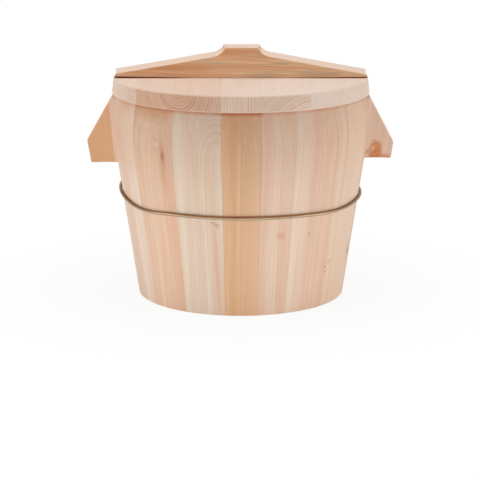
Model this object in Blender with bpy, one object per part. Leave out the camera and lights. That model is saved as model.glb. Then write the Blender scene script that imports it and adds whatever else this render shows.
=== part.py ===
"""Wooden rice steamer: a coopered barrel with two carved ears, a wire hoop, a lid and a slotted grate.

Metres, +Z up. The base stands on z = 0 with the barrel's axis on Z, and the ears lie along X.
The front of the steamer, as it is usually shown, faces -Y.
"""
import math

import bmesh
import bpy
from mathutils import Matrix, Vector

for old in list(bpy.data.objects):
    bpy.data.objects.remove(old, do_unlink=True)

# Fits
FIT = 0.0003                  # gap between two pieces that touch
GLUE_LINE = 0.0003            # gap between two staves or two boards
PIN_CLEARANCE = 0.0003        # radial play and end play of a pin in its hole

# Barrel
BARREL_HEIGHT = 0.206
BASE_RADIUS = 0.105
RIM_RADIUS = 0.126
BELLY_SWELL = 0.0033          # how far the belly, a little under the rim, stands out past the rim
BELLY_RADIUS = RIM_RADIUS + BELLY_SWELL
BELLY_ARC = 0.145             # radius of the arc that rounds the staves' upper part
BASE_WALL = 0.014
RIM_WALL = 0.012
STAVE_ARC_STEPS = 4
BELLY_STEPS = 4

# Widths of the staves round the barrel, in degrees, from the left ear along the front to the right ear
# and on round the back
EAR_STAVE_WIDTH = 24.0
FRONT_STAVE_WIDTHS = (23.5, 23.5, 22.7, 17.3, 15.3, 13.7, 17.0, 23.0)
BACK_STAVE_WIDTHS = (24.0, 21.0, 19.0, 24.0, 23.0, 20.0, 25.0)

# Ears, carved from the wood of their staves
EAR_REACH = 0.0305            # how far the tip stands out past the rim
EAR_TIP_RADIUS = RIM_RADIUS + EAR_REACH
EAR_TIP_DROP = 0.0498         # how far the tip lies below the rim
EAR_TIP_HEIGHT = BARREL_HEIGHT - EAR_TIP_DROP
EAR_TOE_SETBACK = 0.0031      # how far the toe lies inside the tip
EAR_TOE_RADIUS = EAR_TIP_RADIUS - EAR_TOE_SETBACK
EAR_LEFT_TOE_DROP = 0.022     # height of the left ear's small face, between its tip and its toe
EAR_RIGHT_TOE_DROP = 0.017
EAR_RIM_LEDGE = 0.002         # how far the sloping face starts outside the rim
EAR_UNDERCUT = 0.003          # how far the underside rises from the toe to the wall
EAR_ROOT_STEP = 0.0005
EAR_TIP_HALF_WIDTH = 0.008
EAR_TOP_SHARE = 0.84          # of the ear stave's half width
EAR_ROOT_SHARE = 0.92
EAR_COVE = (0.15, 0.55)       # how hard the ear's sides sweep into the stave, radially and sideways
EAR_COVE_STEPS = 4

# Pins in the joints between staves
STAVE_PIN_RADIUS = 0.002
STAVE_PIN_LENGTH = 0.024
STAVE_PIN_DROP = 0.056        # how far the pins lie below the rim
STAVE_PIN_HEIGHT = BARREL_HEIGHT - STAVE_PIN_DROP

# Hoop
HOOP_WIRE_RADIUS = 0.0016
HOOP_HEIGHT = 0.1038
HOOP_TILT = 0.0018            # how much lower it sits in front, and higher at the back
HOOP_RISE = 0.0060            # how far it is drawn up at its left side
HOOP_RISE_TURN = 172.0        # where that is, in degrees round the barrel from its right side
HOOP_RISE_TIGHTNESS = 11.4    # the larger, the shorter the stretch that is drawn up
HOOP_DIP = 0.0029             # how far it sags beside that
HOOP_DIP_TURN = 218.0
HOOP_DIP_TIGHTNESS = 29.0
HOOP_SAG = 0.0026             # how far it sags in front on the right
HOOP_SAG_TURN = 322.0
HOOP_SAG_TIGHTNESS = 14.0
HOOP_STEPS = 64
HOOP_SIDES = 8

# Lid
LID_OVERHANG = 0.004          # how far the lid stands out past the rim
LID_RADIUS = RIM_RADIUS + LID_OVERHANG
LID_THICKNESS = 0.016
LID_DRAFT = 0.0016            # how much narrower the lid is at its top
LID_EDGE_ROUND = 0.0020
LID_ROUND_STEPS = 3
LID_STEP_DEPTH = 0.005        # the turned step under the lid, which drops into the barrel's mouth
LID_STEP_CLEARANCE = 0.0015
LID_STEPS = 96
LID_JOINTS = (-0.79, -0.145, 0.153, 0.514)   # joints between lid boards, as shares of the lid's radius
LID_PIN_RADIUS = 0.002
LID_PIN_LENGTH = 0.020
LID_PIN_REACH = 0.040         # distance of a pin from the middle of its joint

# Lid handle
HANDLE_THICKNESS = 0.032
HANDLE_HEIGHT = 0.0304
HANDLE_SHOULDER_HEIGHT = 0.0215
HANDLE_SHOULDER_REACH = 0.0292
HANDLE_END_HEIGHT = 0.0026
HANDLE_GRIP_WIDTH = 0.0354
HANDLE_GRIP_LEAN = 0.004      # how much further out the grip's sides stand at their foot
HANDLE_GRIP_ROUND = 0.0012
HANDLE_END_INSET = 0.0032     # how far the ends stay inside the lid's edge
HANDLE_LEFT_BOW = 0.0014      # how far the left end has lifted off the lid
HANDLE_RIGHT_BOW = 0.0006
HANDLE_BOW_START = 0.040
HANDLE_BOW_STEPS = 4
HANDLE_EDGE = 0.0012
HANDLE_COVE_STEPS = 5

# Screws that hold the handle from under the lid, at shares of the lid's radius from its middle
SCREW_PLACES = (-0.477, 0.0, 0.333, 0.640)
SCREW_HEAD_RADIUS = 0.004
SCREW_HEAD_DEPTH = 0.003
SCREW_SHANK_RADIUS = 0.002
SCREW_BITE = 0.007            # length of screw inside the handle
SCREW_POINT = 0.0025
SCREW_SINK = 0.0004
SCREW_DRIVE_RADIUS = 0.0018
SCREW_DRIVE_DEPTH = 0.0012
SCREW_SIDES = 16

# Grate
GRATE_THICKNESS = 0.012
GRATE_LIFT = 0.006            # height of its underside over the base
GRATE_GAP = 0.0004            # gap between its coned edge and the staves
GRATE_JOINTS = (-0.5, 0.167)  # joints between its boards, as shares of its lower radius
GRATE_STEPS = 64
BATTEN_WIDTH = 0.016
BATTEN_HEIGHT = 0.010
BATTEN_LET_IN = 0.006
SLOT_WIDTH = 0.0026
SLOT_PITCH = 0.0300
SLOT_START = 0.018            # distance of a slot's inner end from the batten's middle
SLOT_SHIFT = 0.003            # the slots in front of the batten sit this far right of those behind it
SLOT_ROWS = 2                 # slots to each side of the middle one

# Colours, roughness
PALE = (0.78, 0.58, 0.42)
CREAM = (0.82, 0.66, 0.48)
PINK = (0.76, 0.52, 0.38)
HONEY = (0.68, 0.45, 0.27)
ORANGE = (0.58, 0.33, 0.17)
BAMBOO = (0.72, 0.55, 0.31)
BRASS = (0.62, 0.50, 0.28)
STEEL = (0.55, 0.55, 0.54)
STAVE_TONES = (PINK, CREAM, HONEY, PINK, PALE, PINK, PALE)


def outer_taper():
    """Where the straight taper meets the belly's arc, the arc's centre, and the taper's slope."""
    centre_radius = BELLY_RADIUS - BELLY_ARC
    rim_offset = RIM_RADIUS - centre_radius
    centre_height = BARREL_HEIGHT - math.sqrt(BELLY_ARC ** 2 - rim_offset ** 2)
    across = centre_radius - BASE_RADIUS
    distance = math.hypot(across, centre_height)
    direction = math.atan2(centre_height, across) - math.asin(BELLY_ARC / distance)
    length = math.sqrt(distance ** 2 - BELLY_ARC ** 2)
    return length * math.sin(direction), centre_radius, centre_height, 1.0 / math.tan(direction)


TAPER_TOP, ARC_RADIUS_AT, ARC_HEIGHT_AT, TAPER_SLOPE = outer_taper()
INNER_SLOPE = (RIM_RADIUS - RIM_WALL - BASE_RADIUS + BASE_WALL) / BARREL_HEIGHT


def outer_radius(z):
    if z < TAPER_TOP:
        return BASE_RADIUS + TAPER_SLOPE * z
    return ARC_RADIUS_AT + math.sqrt(BELLY_ARC ** 2 - (z - ARC_HEIGHT_AT) ** 2)


def inner_radius(z):
    return BASE_RADIUS - BASE_WALL + INNER_SLOPE * z


def spread(start, end, count):
    """count + 1 evenly spaced values from start to end."""
    return [start + (end - start) * i / count for i in range(count + 1)]


# Building blocks

def wood_or_metal(name, colour, roughness, metallic=0.0):
    material = bpy.data.materials.new(name)
    material.use_nodes = True
    shader = material.node_tree.nodes["Principled BSDF"]
    shader.inputs["Base Color"].default_value = (*colour, 1.0)
    shader.inputs["Roughness"].default_value = roughness
    shader.inputs["Metallic"].default_value = metallic
    return material


def empty(name, location=(0.0, 0.0, 0.0)):
    obj = bpy.data.objects.new(name, None)
    obj.location = location
    bpy.context.collection.objects.link(obj)
    return obj


def mesh_object(name, bm, location=(0.0, 0.0, 0.0), turn=0.0):
    """A finished object from a bmesh, turned about Z and smooth where its faces meet at small angles."""
    bmesh.ops.recalc_face_normals(bm, faces=bm.faces)
    mesh = bpy.data.meshes.new(name)
    bm.to_mesh(mesh)
    bm.free()
    mesh.shade_smooth()
    mesh.set_sharp_from_angle(angle=math.radians(35.0))
    obj = bpy.data.objects.new(name, mesh)
    obj.location = location
    obj.rotation_euler = (0.0, 0.0, turn)
    bpy.context.collection.objects.link(obj)
    return obj


def piece(obj, body, colour, roughness=0.55, metallic=0.0):
    """Gives an object its material and hangs it on its body's empty."""
    obj.data.materials.append(wood_or_metal(obj.name + "_finish", colour, roughness, metallic))
    place = obj.matrix_basis.copy()
    obj.parent = body
    obj.matrix_basis = Matrix.Translation(-body.location) @ place
    return obj


def cutter(obj):
    obj.hide_render = True
    obj.display_type = "WIRE"
    return obj


def combine(obj, other, operation):
    modifier = obj.modifiers.new(operation.lower() + "_" + other.name, "BOOLEAN")
    modifier.operation = operation
    modifier.object = other
    modifier.solver = "EXACT"


def loft(rings, ring_closes=False):
    """A closed bmesh through rings of as many points each, capped at both ends unless it closes on itself."""
    bm = bmesh.new()
    loops = [[bm.verts.new(point) for point in ring] for ring in rings]
    pairs = list(zip(loops, loops[1:]))
    if ring_closes:
        pairs.append((loops[-1], loops[0]))
    else:
        bm.faces.new(loops[0])
        bm.faces.new(loops[-1])
    for low, high in pairs:
        for i, vertex in enumerate(low):
            j = (i + 1) % len(low)
            bm.faces.new((vertex, low[j], high[j], high[i]))
    return bm


def circle(radius, z, sides):
    turns = [2.0 * math.pi * i / sides for i in range(sides)]
    return [Vector((radius * math.cos(t), radius * math.sin(t), z)) for t in turns]


def turned(profile, sides):
    """A solid of revolution about Z from (radius, height) pairs, from one end cap to the other."""
    return loft([circle(radius, z, sides) for radius, z in profile])


def box(low, high):
    bm = bmesh.new()
    centre = (Vector(low) + Vector(high)) / 2.0
    size = Vector(high) - Vector(low)
    bmesh.ops.create_cube(bm, size=1.0, matrix=Matrix.Translation(centre) @ Matrix.Diagonal((*size, 1.0)))
    return bm


def lying_pin(name, radius, length, sides, place, turn):
    """A round pin whose axis lies level, along X before its turn about Z."""
    bm = turned(((radius, -length / 2.0), (radius, length / 2.0)), sides)
    bmesh.ops.rotate(bm, matrix=Matrix.Rotation(math.pi / 2.0, 3, "Y"), verts=bm.verts)
    return mesh_object(name, bm, place, turn)


def pin_and_hole(name, radius, length, place, turn, body):
    """A pin and the cutter that bores for it on both sides of its joint."""
    sides = 10
    pin = piece(lying_pin(name, radius, length, sides, place, turn), body, BAMBOO)
    wide = radius + PIN_CLEARANCE
    deep = length + 2.0 * PIN_CLEARANCE
    hole = cutter(lying_pin(pin.name + "_hole", wide, deep, sides, place, turn))
    return hole


# Barrel

def side_angle(half_width, radius):
    """Angle from a stave's middle to its side, which stays half a glue line inside the radial joint."""
    return half_width - math.asin(GLUE_LINE / 2.0 / radius)


def arc_points(radius, half_width, z):
    reach = side_angle(half_width, radius)
    return [Vector((radius * math.cos(a), radius * math.sin(a), z))
            for a in spread(-reach, reach, STAVE_ARC_STEPS)]


def stave_heights():
    return [0.0] + spread(TAPER_TOP, BARREL_HEIGHT, BELLY_STEPS)


def plain_stave(half_width):
    rings = []
    for z in stave_heights():
        outside = arc_points(outer_radius(z), half_width, z)
        inside = arc_points(inner_radius(z), half_width, z)
        rings.append(outside + inside[::-1])
    return loft(rings)


def ear_face(z, half_width, underside):
    """Reach of the ear's outer face from the axis at a height, and half its width."""
    if z > EAR_TIP_HEIGHT:
        share = (BARREL_HEIGHT - z) / (BARREL_HEIGHT - EAR_TIP_HEIGHT)
        rim_face = RIM_RADIUS + EAR_RIM_LEDGE
        rim_half = EAR_TOP_SHARE * RIM_RADIUS * math.sin(half_width)
        return (rim_face + share * (EAR_TIP_RADIUS - rim_face),
                rim_half + share * (EAR_TIP_HALF_WIDTH - rim_half))
    share = (EAR_TIP_HEIGHT - z) / (EAR_TIP_HEIGHT - underside)
    return EAR_TIP_RADIUS + share * (EAR_TOE_RADIUS - EAR_TIP_RADIUS), EAR_TIP_HALF_WIDTH


def ear_outline(z, face, face_half, half_width, has_ear=True):
    """Outer edge of an ear stave at a height, from one side of the stave to the other."""
    radius = outer_radius(z)
    end = side_angle(half_width, radius)
    root = EAR_ROOT_SHARE * radius * math.sin(end)
    root_at = Vector((math.sqrt(radius ** 2 - root ** 2), root))
    edge_at = Vector((face, face_half))
    bend = Vector((root_at.x + EAR_COVE[0] * (face - root_at.x),
                   face_half + EAR_COVE[1] * (root - face_half)))
    half = []
    for t in spread(0.0, 1.0, EAR_COVE_STEPS):
        side = (1.0 - t) ** 2 * edge_at + 2.0 * t * (1.0 - t) * bend + t ** 2 * root_at
        if not has_ear:
            side.x = math.sqrt(radius ** 2 - side.y ** 2)
        half.append(Vector((side.x, side.y, z)))
    half.append(Vector((radius * math.cos(end), radius * math.sin(end), z)))
    mirrored = [Vector((p.x, -p.y, p.z)) for p in half]
    return mirrored[::-1] + half


def ear_toe(half_width, underside):
    """Lower edge of the ear, which drops from the wall to the toe because the underside is undercut."""
    root_height = underside + EAR_UNDERCUT + EAR_ROOT_STEP
    face, face_half = ear_face(underside, half_width, underside)
    outline = ear_outline(root_height, face, face_half, half_width)
    wall = outer_radius(root_height)
    for point in outline:
        share = max(0.0, (point.x - wall) / (face - wall))
        point.z -= share * (root_height - underside)
    return outline


def ear_stave(half_width, underside):
    wall_foot = underside + EAR_UNDERCUT
    sections = []
    for z in (0.0, wall_foot):
        face, face_half = ear_face(underside, half_width, underside)
        sections.append((z, ear_outline(z, face, face_half, half_width, has_ear=False)))
    sections.append((wall_foot + EAR_ROOT_STEP, ear_toe(half_width, underside)))
    for z in spread(EAR_TIP_HEIGHT, BARREL_HEIGHT, BELLY_STEPS + 1):
        face, face_half = ear_face(z, half_width, underside)
        sections.append((z, ear_outline(z, face, face_half, half_width)))
    return loft([outline + arc_points(inner_radius(z), half_width, z)[::-1] for z, outline in sections])


def barrel(body):
    widths = [("ear_stave_left", EAR_STAVE_WIDTH)]
    widths += [(f"stave_{i + 1:02d}", w) for i, w in enumerate(FRONT_STAVE_WIDTHS)]
    widths.append(("ear_stave_right", EAR_STAVE_WIDTH))
    first_back = len(FRONT_STAVE_WIDTHS) + 1
    widths += [(f"stave_{first_back + i:02d}", w) for i, w in enumerate(BACK_STAVE_WIDTHS)]
    whole_turn = 2.0 * math.pi / sum(width for name, width in widths)
    side = math.pi - EAR_STAVE_WIDTH * whole_turn / 2.0
    staves = []
    joints = []
    for i, (name, width) in enumerate(widths):
        half = width * whole_turn / 2.0
        middle = side + half
        if name == "ear_stave_left":
            solid = ear_stave(half, EAR_TIP_HEIGHT - EAR_LEFT_TOE_DROP)
        elif name == "ear_stave_right":
            solid = ear_stave(half, EAR_TIP_HEIGHT - EAR_RIGHT_TOE_DROP)
        else:
            solid = plain_stave(half)
        tone = STAVE_TONES[i % len(STAVE_TONES)]
        staves.append(piece(mesh_object(name, solid, turn=middle), body, tone))
        side += 2.0 * half
        joints.append(side)
    pin_radius = (outer_radius(STAVE_PIN_HEIGHT) + inner_radius(STAVE_PIN_HEIGHT)) / 2.0
    for i, angle in enumerate(joints):
        place = (pin_radius * math.cos(angle), pin_radius * math.sin(angle), STAVE_PIN_HEIGHT)
        hole = pin_and_hole(f"stave_pin_{i + 1:02d}", STAVE_PIN_RADIUS, STAVE_PIN_LENGTH, place,
                            angle + math.pi / 2.0, body)
        combine(staves[i], hole, "DIFFERENCE")
        combine(staves[(i + 1) % len(staves)], hole, "DIFFERENCE")


def near_turn(turn, place, tightness):
    """One at a place round the barrel, fading to nothing away from it. The place is in degrees."""
    return math.exp(tightness * (math.cos(turn - math.radians(place)) - 1.0))


def hoop_height(turn):
    """Height of the wire at an angle round the barrel. It was driven on by hand, so it is not level."""
    up = HOOP_RISE * near_turn(turn, HOOP_RISE_TURN, HOOP_RISE_TIGHTNESS)
    dip = HOOP_DIP * near_turn(turn, HOOP_DIP_TURN, HOOP_DIP_TIGHTNESS)
    sag = HOOP_SAG * near_turn(turn, HOOP_SAG_TURN, HOOP_SAG_TIGHTNESS)
    return HOOP_HEIGHT + HOOP_TILT * math.sin(turn) + up - dip - sag


def hoop(body):
    """A ring of wire that follows the barrel's taper."""
    rings = []
    for turn in spread(0.0, 2.0 * math.pi, HOOP_STEPS)[:-1]:
        z = hoop_height(turn)
        centre = outer_radius(z) + HOOP_WIRE_RADIUS * math.hypot(1.0, TAPER_SLOPE) + FIT
        outward = Vector((math.cos(turn), math.sin(turn), 0.0))
        ring = []
        for around in spread(0.0, 2.0 * math.pi, HOOP_SIDES)[:-1]:
            rise = HOOP_WIRE_RADIUS * math.sin(around)
            reach = centre + HOOP_WIRE_RADIUS * math.cos(around)
            ring.append(outward * reach + Vector((0.0, 0.0, z + rise)))
        rings.append(ring)
    piece(mesh_object("hoop", loft(rings, ring_closes=True)), body, BRASS, 0.35, 1.0)


# Lid

LID_SEAT = BARREL_HEIGHT + FIT
LID_TOP = LID_SEAT + LID_THICKNESS
LID_BOTTOM = LID_SEAT - LID_STEP_DEPTH
LID_STEP_RADIUS = inner_radius(LID_BOTTOM) - LID_STEP_CLEARANCE


def lid_blank():
    """The whole lid as it comes off the lathe, which the boards are cut from."""
    rounding = []
    for a in spread(math.pi / 2.0, 0.0, LID_ROUND_STEPS):
        inward = LID_DRAFT + LID_EDGE_ROUND * (1.0 - math.cos(a))
        down = LID_EDGE_ROUND * (1.0 - math.sin(a))
        rounding.append((LID_RADIUS - inward, LID_TOP - down))
    profile = rounding + [(LID_RADIUS, LID_SEAT), (LID_STEP_RADIUS, LID_SEAT), (LID_STEP_RADIUS, LID_BOTTOM)]
    return cutter(mesh_object("lid_blank", turned(profile, LID_STEPS)))


def lid_boards(body):
    blank = lid_blank()
    joints = [share * LID_RADIUS for share in LID_JOINTS]
    edges = [-1.1 * LID_RADIUS] + joints + [1.1 * LID_RADIUS]
    boards = []
    for i, (left, right) in enumerate(zip(edges, edges[1:])):
        low = (left + GLUE_LINE / 2.0, -1.1 * LID_RADIUS, LID_BOTTOM - LID_THICKNESS)
        high = (right - GLUE_LINE / 2.0, 1.1 * LID_RADIUS, LID_TOP + LID_THICKNESS)
        board = piece(mesh_object(f"lid_board_{i + 1}", box(low, high)), body, PALE)
        combine(board, blank, "INTERSECT")
        boards.append(board)
    pin_height = (LID_BOTTOM + LID_TOP) / 2.0
    for i, x in enumerate(joints):
        for j, y in enumerate((-LID_PIN_REACH, LID_PIN_REACH)):
            hole = pin_and_hole(f"lid_pin_{2 * i + j + 1}", LID_PIN_RADIUS, LID_PIN_LENGTH,
                                (x, y, pin_height), 0.0, body)
            combine(boards[i], hole, "DIFFERENCE")
            combine(boards[i + 1], hole, "DIFFERENCE")
    return boards


def handle_underside(x, bow):
    """Height of the handle's underside over the lid: flat in the middle, lifting towards the end."""
    share = max(0.0, x - HANDLE_BOW_START) / (LID_RADIUS - HANDLE_BOW_START)
    return FIT + bow * share ** 2


def handle_half_outline(bow):
    """Half of the handle's front outline, from the lid's edge up to the middle of the grip."""
    end = LID_RADIUS
    grip = HANDLE_GRIP_WIDTH / 2.0
    shoulder = Vector((HANDLE_SHOULDER_REACH, HANDLE_SHOULDER_HEIGHT))
    side_top = Vector((grip, HANDLE_HEIGHT - HANDLE_GRIP_ROUND))
    slope = (shoulder.y - HANDLE_END_HEIGHT) / (end - shoulder.x)
    foot = grip + HANDLE_GRIP_LEAN
    bend = Vector((foot, shoulder.y + slope * (shoulder.x - foot)))
    underside = [0.0] + spread(HANDLE_BOW_START, end, HANDLE_BOW_STEPS)
    cove = []
    for t in spread(0.0, 1.0, HANDLE_COVE_STEPS):
        cove.append((1.0 - t) ** 2 * shoulder + 2.0 * t * (1.0 - t) * bend + t ** 2 * side_top)
    outline = [Vector((x, handle_underside(x, bow))) for x in underside]
    outline.append(Vector((end, handle_underside(end, bow) + HANDLE_END_HEIGHT)))
    outline += cove
    outline.append(Vector((grip - HANDLE_GRIP_ROUND, HANDLE_HEIGHT)))
    return outline


def lid_handle(body):
    right = handle_half_outline(HANDLE_RIGHT_BOW)
    left = [Vector((-p.x, p.y)) for p in handle_half_outline(HANDLE_LEFT_BOW)[:0:-1]]
    outline = right + left
    front = -HANDLE_THICKNESS / 2.0
    rings = [[Vector((p.x, y, LID_TOP + p.y)) for p in outline] for y in (front, -front)]
    handle = mesh_object("lid_handle", loft(rings))
    ends = turned(((LID_RADIUS - HANDLE_END_INSET, LID_BOTTOM),
                   (LID_RADIUS - HANDLE_END_INSET, LID_TOP + 2.0 * HANDLE_HEIGHT)), LID_STEPS)
    combine(handle, cutter(mesh_object("handle_end_cut", ends)), "INTERSECT")
    edges = handle.modifiers.new("eased_edges", "BEVEL")
    edges.width = HANDLE_EDGE
    edges.segments = 1
    edges.limit_method = "ANGLE"
    edges.angle_limit = math.radians(60.0)
    return piece(handle, body, ORANGE)


def screw_profile(play):
    """A countersunk screw, or its hole where play is more than nothing, from head to point."""
    head = LID_BOTTOM + SCREW_SINK
    end = LID_TOP + SCREW_BITE + play
    shank = SCREW_SHANK_RADIUS + play
    rim = SCREW_HEAD_RADIUS + play
    neck = head + SCREW_HEAD_DEPTH
    if play > 0.0:
        start = [(rim, LID_BOTTOM - SCREW_HEAD_DEPTH), (rim, head)]
    else:
        floor = head + SCREW_DRIVE_DEPTH
        start = [(SCREW_DRIVE_RADIUS * 0.8, floor), (SCREW_DRIVE_RADIUS, head), (rim, head)]
    return start + [(shank, neck), (shank, end - SCREW_POINT), (shank * 0.3, end)]


def handle_screws(body, boards, handle):
    joints = [share * LID_RADIUS for share in LID_JOINTS]
    for i, share in enumerate(SCREW_PLACES):
        x = share * LID_RADIUS
        screw = mesh_object(f"handle_screw_{i + 1}", turned(screw_profile(0.0), SCREW_SIDES), (x, 0.0, 0.0))
        piece(screw, body, STEEL, 0.35, 1.0)
        hole = cutter(mesh_object(screw.name + "_hole", turned(screw_profile(PIN_CLEARANCE), SCREW_SIDES),
                                  (x, 0.0, 0.0)))
        board = boards[sum(joint < x for joint in joints)]
        combine(board, hole, "DIFFERENCE")
        combine(handle, hole, "DIFFERENCE")


# Grate

GRATE_TOP = GRATE_LIFT + GRATE_THICKNESS


def grate_radius(z):
    return inner_radius(z) - GRATE_GAP


def coned_disc(name, low, high):
    profile = ((grate_radius(low), low), (grate_radius(high), high))
    return cutter(mesh_object(name, turned(profile, GRATE_STEPS)))


def grate_slots():
    """Saw cuts that run in from the rim on both sides of the batten."""
    slots = bmesh.new()
    far = 1.2 * grate_radius(GRATE_TOP)
    for side in (-1.0, 1.0):
        for row in range(-SLOT_ROWS, SLOT_ROWS + 1):
            x = row * SLOT_PITCH - side * SLOT_SHIFT / 2.0
            ends = sorted((side * SLOT_START, side * far))
            cut = box((x - SLOT_WIDTH / 2.0, ends[0], GRATE_LIFT - GRATE_THICKNESS),
                      (x + SLOT_WIDTH / 2.0, ends[1], GRATE_TOP + GRATE_THICKNESS))
            mesh = bpy.data.meshes.new("slot")
            cut.to_mesh(mesh)
            cut.free()
            slots.from_mesh(mesh)
            bpy.data.meshes.remove(mesh)
    return cutter(mesh_object("grate_slot_cuts", slots))


def grate(body):
    far = 1.2 * grate_radius(GRATE_TOP)
    disc = coned_disc("grate_disc", GRATE_LIFT, GRATE_TOP)
    slots = grate_slots()
    groove_floor = GRATE_TOP - BATTEN_LET_IN
    half = BATTEN_WIDTH / 2.0
    groove = cutter(mesh_object("batten_groove", box((-far, -half - FIT, groove_floor - FIT),
                                                     (far, half + FIT, GRATE_TOP + BATTEN_HEIGHT))))
    joints = [share * grate_radius(GRATE_LIFT) for share in GRATE_JOINTS]
    edges = [-far] + joints + [far]
    for i, (left, right) in enumerate(zip(edges, edges[1:])):
        slab = box((left + GLUE_LINE / 2.0, -far, GRATE_LIFT - GRATE_THICKNESS),
                   (right - GLUE_LINE / 2.0, far, GRATE_TOP + GRATE_THICKNESS))
        board = piece(mesh_object(f"grate_board_{i + 1}", slab), body, ORANGE)
        combine(board, disc, "INTERSECT")
        combine(board, groove, "DIFFERENCE")
        combine(board, slots, "DIFFERENCE")
    batten_blank = coned_disc("batten_disc", groove_floor, groove_floor + BATTEN_HEIGHT)
    batten = mesh_object("grate_batten", box((-far, -half, groove_floor - BATTEN_HEIGHT),
                                             (far, half, groove_floor + 2.0 * BATTEN_HEIGHT)))
    combine(batten, batten_blank, "INTERSECT")
    piece(batten, body, HONEY)


# Assembly

barrel_body = empty("barrel_body")
lid_body = empty("lid_lift", (0.0, 0.0, LID_SEAT))
grate_body = empty("grate_lift", (0.0, 0.0, GRATE_LIFT))

barrel(barrel_body)
hoop(barrel_body)
lid = lid_boards(lid_body)
handle_screws(lid_body, lid, lid_handle(lid_body))
grate(grate_body)
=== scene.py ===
# %% [markdown]
# # A wooden rice steamer
# A coopered barrel of fir staves holds rice over a pot of boiling water. Two staves carry carved ears to
# lift it by, a wire hoop draws the barrel tight, a lid of glued boards closes it, and a slotted grate in
# the bottom lets the steam in. The packed CAD model gives every size and place, so this lesson loads it
# first and builds finer pieces around it.

import math

import bmesh
import bpy
from mathutils import Matrix, Vector


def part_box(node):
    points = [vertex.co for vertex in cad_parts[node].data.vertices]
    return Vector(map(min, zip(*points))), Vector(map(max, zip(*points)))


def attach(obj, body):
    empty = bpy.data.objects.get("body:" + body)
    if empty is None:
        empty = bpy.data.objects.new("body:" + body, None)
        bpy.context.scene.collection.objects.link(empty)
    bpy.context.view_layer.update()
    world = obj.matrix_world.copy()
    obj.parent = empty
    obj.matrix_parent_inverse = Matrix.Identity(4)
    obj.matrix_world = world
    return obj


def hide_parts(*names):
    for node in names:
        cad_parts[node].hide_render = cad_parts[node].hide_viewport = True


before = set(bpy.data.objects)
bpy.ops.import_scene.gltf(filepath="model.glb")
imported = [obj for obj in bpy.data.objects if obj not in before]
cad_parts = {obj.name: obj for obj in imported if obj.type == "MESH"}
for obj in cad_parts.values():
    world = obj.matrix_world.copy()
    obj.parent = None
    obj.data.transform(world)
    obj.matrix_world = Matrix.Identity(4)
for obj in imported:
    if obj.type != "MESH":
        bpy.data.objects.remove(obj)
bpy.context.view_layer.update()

# %% [markdown]
# ## The camera
# The photograph looks slightly down at the front of the barrel from far away. The lens is written in the
# photograph's own pixels, because its frame is square and Blender's default frame isn't.

# %% The camera
PHOTO_SIDE = 480.0
FOCAL_PIXELS = 1890.0
VIEW_DISTANCE = 1.95
VIEW_PITCH = math.radians(13.75)
VIEW_CENTRE = Vector((-0.0008, 0.0, 0.0512))

lens = bpy.data.cameras.new("photo_camera")
lens.sensor_width = 36.0
lens.lens = FOCAL_PIXELS / PHOTO_SIDE * lens.sensor_width
camera = bpy.data.objects.new("photo_camera", lens)
towards_camera = Vector((0.0, -math.cos(VIEW_PITCH), math.sin(VIEW_PITCH)))
camera.location = VIEW_CENTRE + towards_camera * VIEW_DISTANCE
camera.rotation_euler = (-towards_camera).to_track_quat("-Z", "Y").to_euler()
bpy.context.scene.collection.objects.link(camera)
bpy.context.scene.camera = camera
bpy.context.scene.view_settings.view_transform = "Standard"
print("camera:", round(lens.lens, 2), "mm lens at", [round(v, 3) for v in camera.location])

# %% [markdown]
# ## Node maths in plain Python
# A material or a Geometry Nodes tree is arithmetic drawn as boxes. One small class wraps a socket, so that
# `1 - mask` or `a * b` adds the Math nodes by itself, and one method adds any other kind of node. The other
# methods are short names for steps that come back in every finish.


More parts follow.
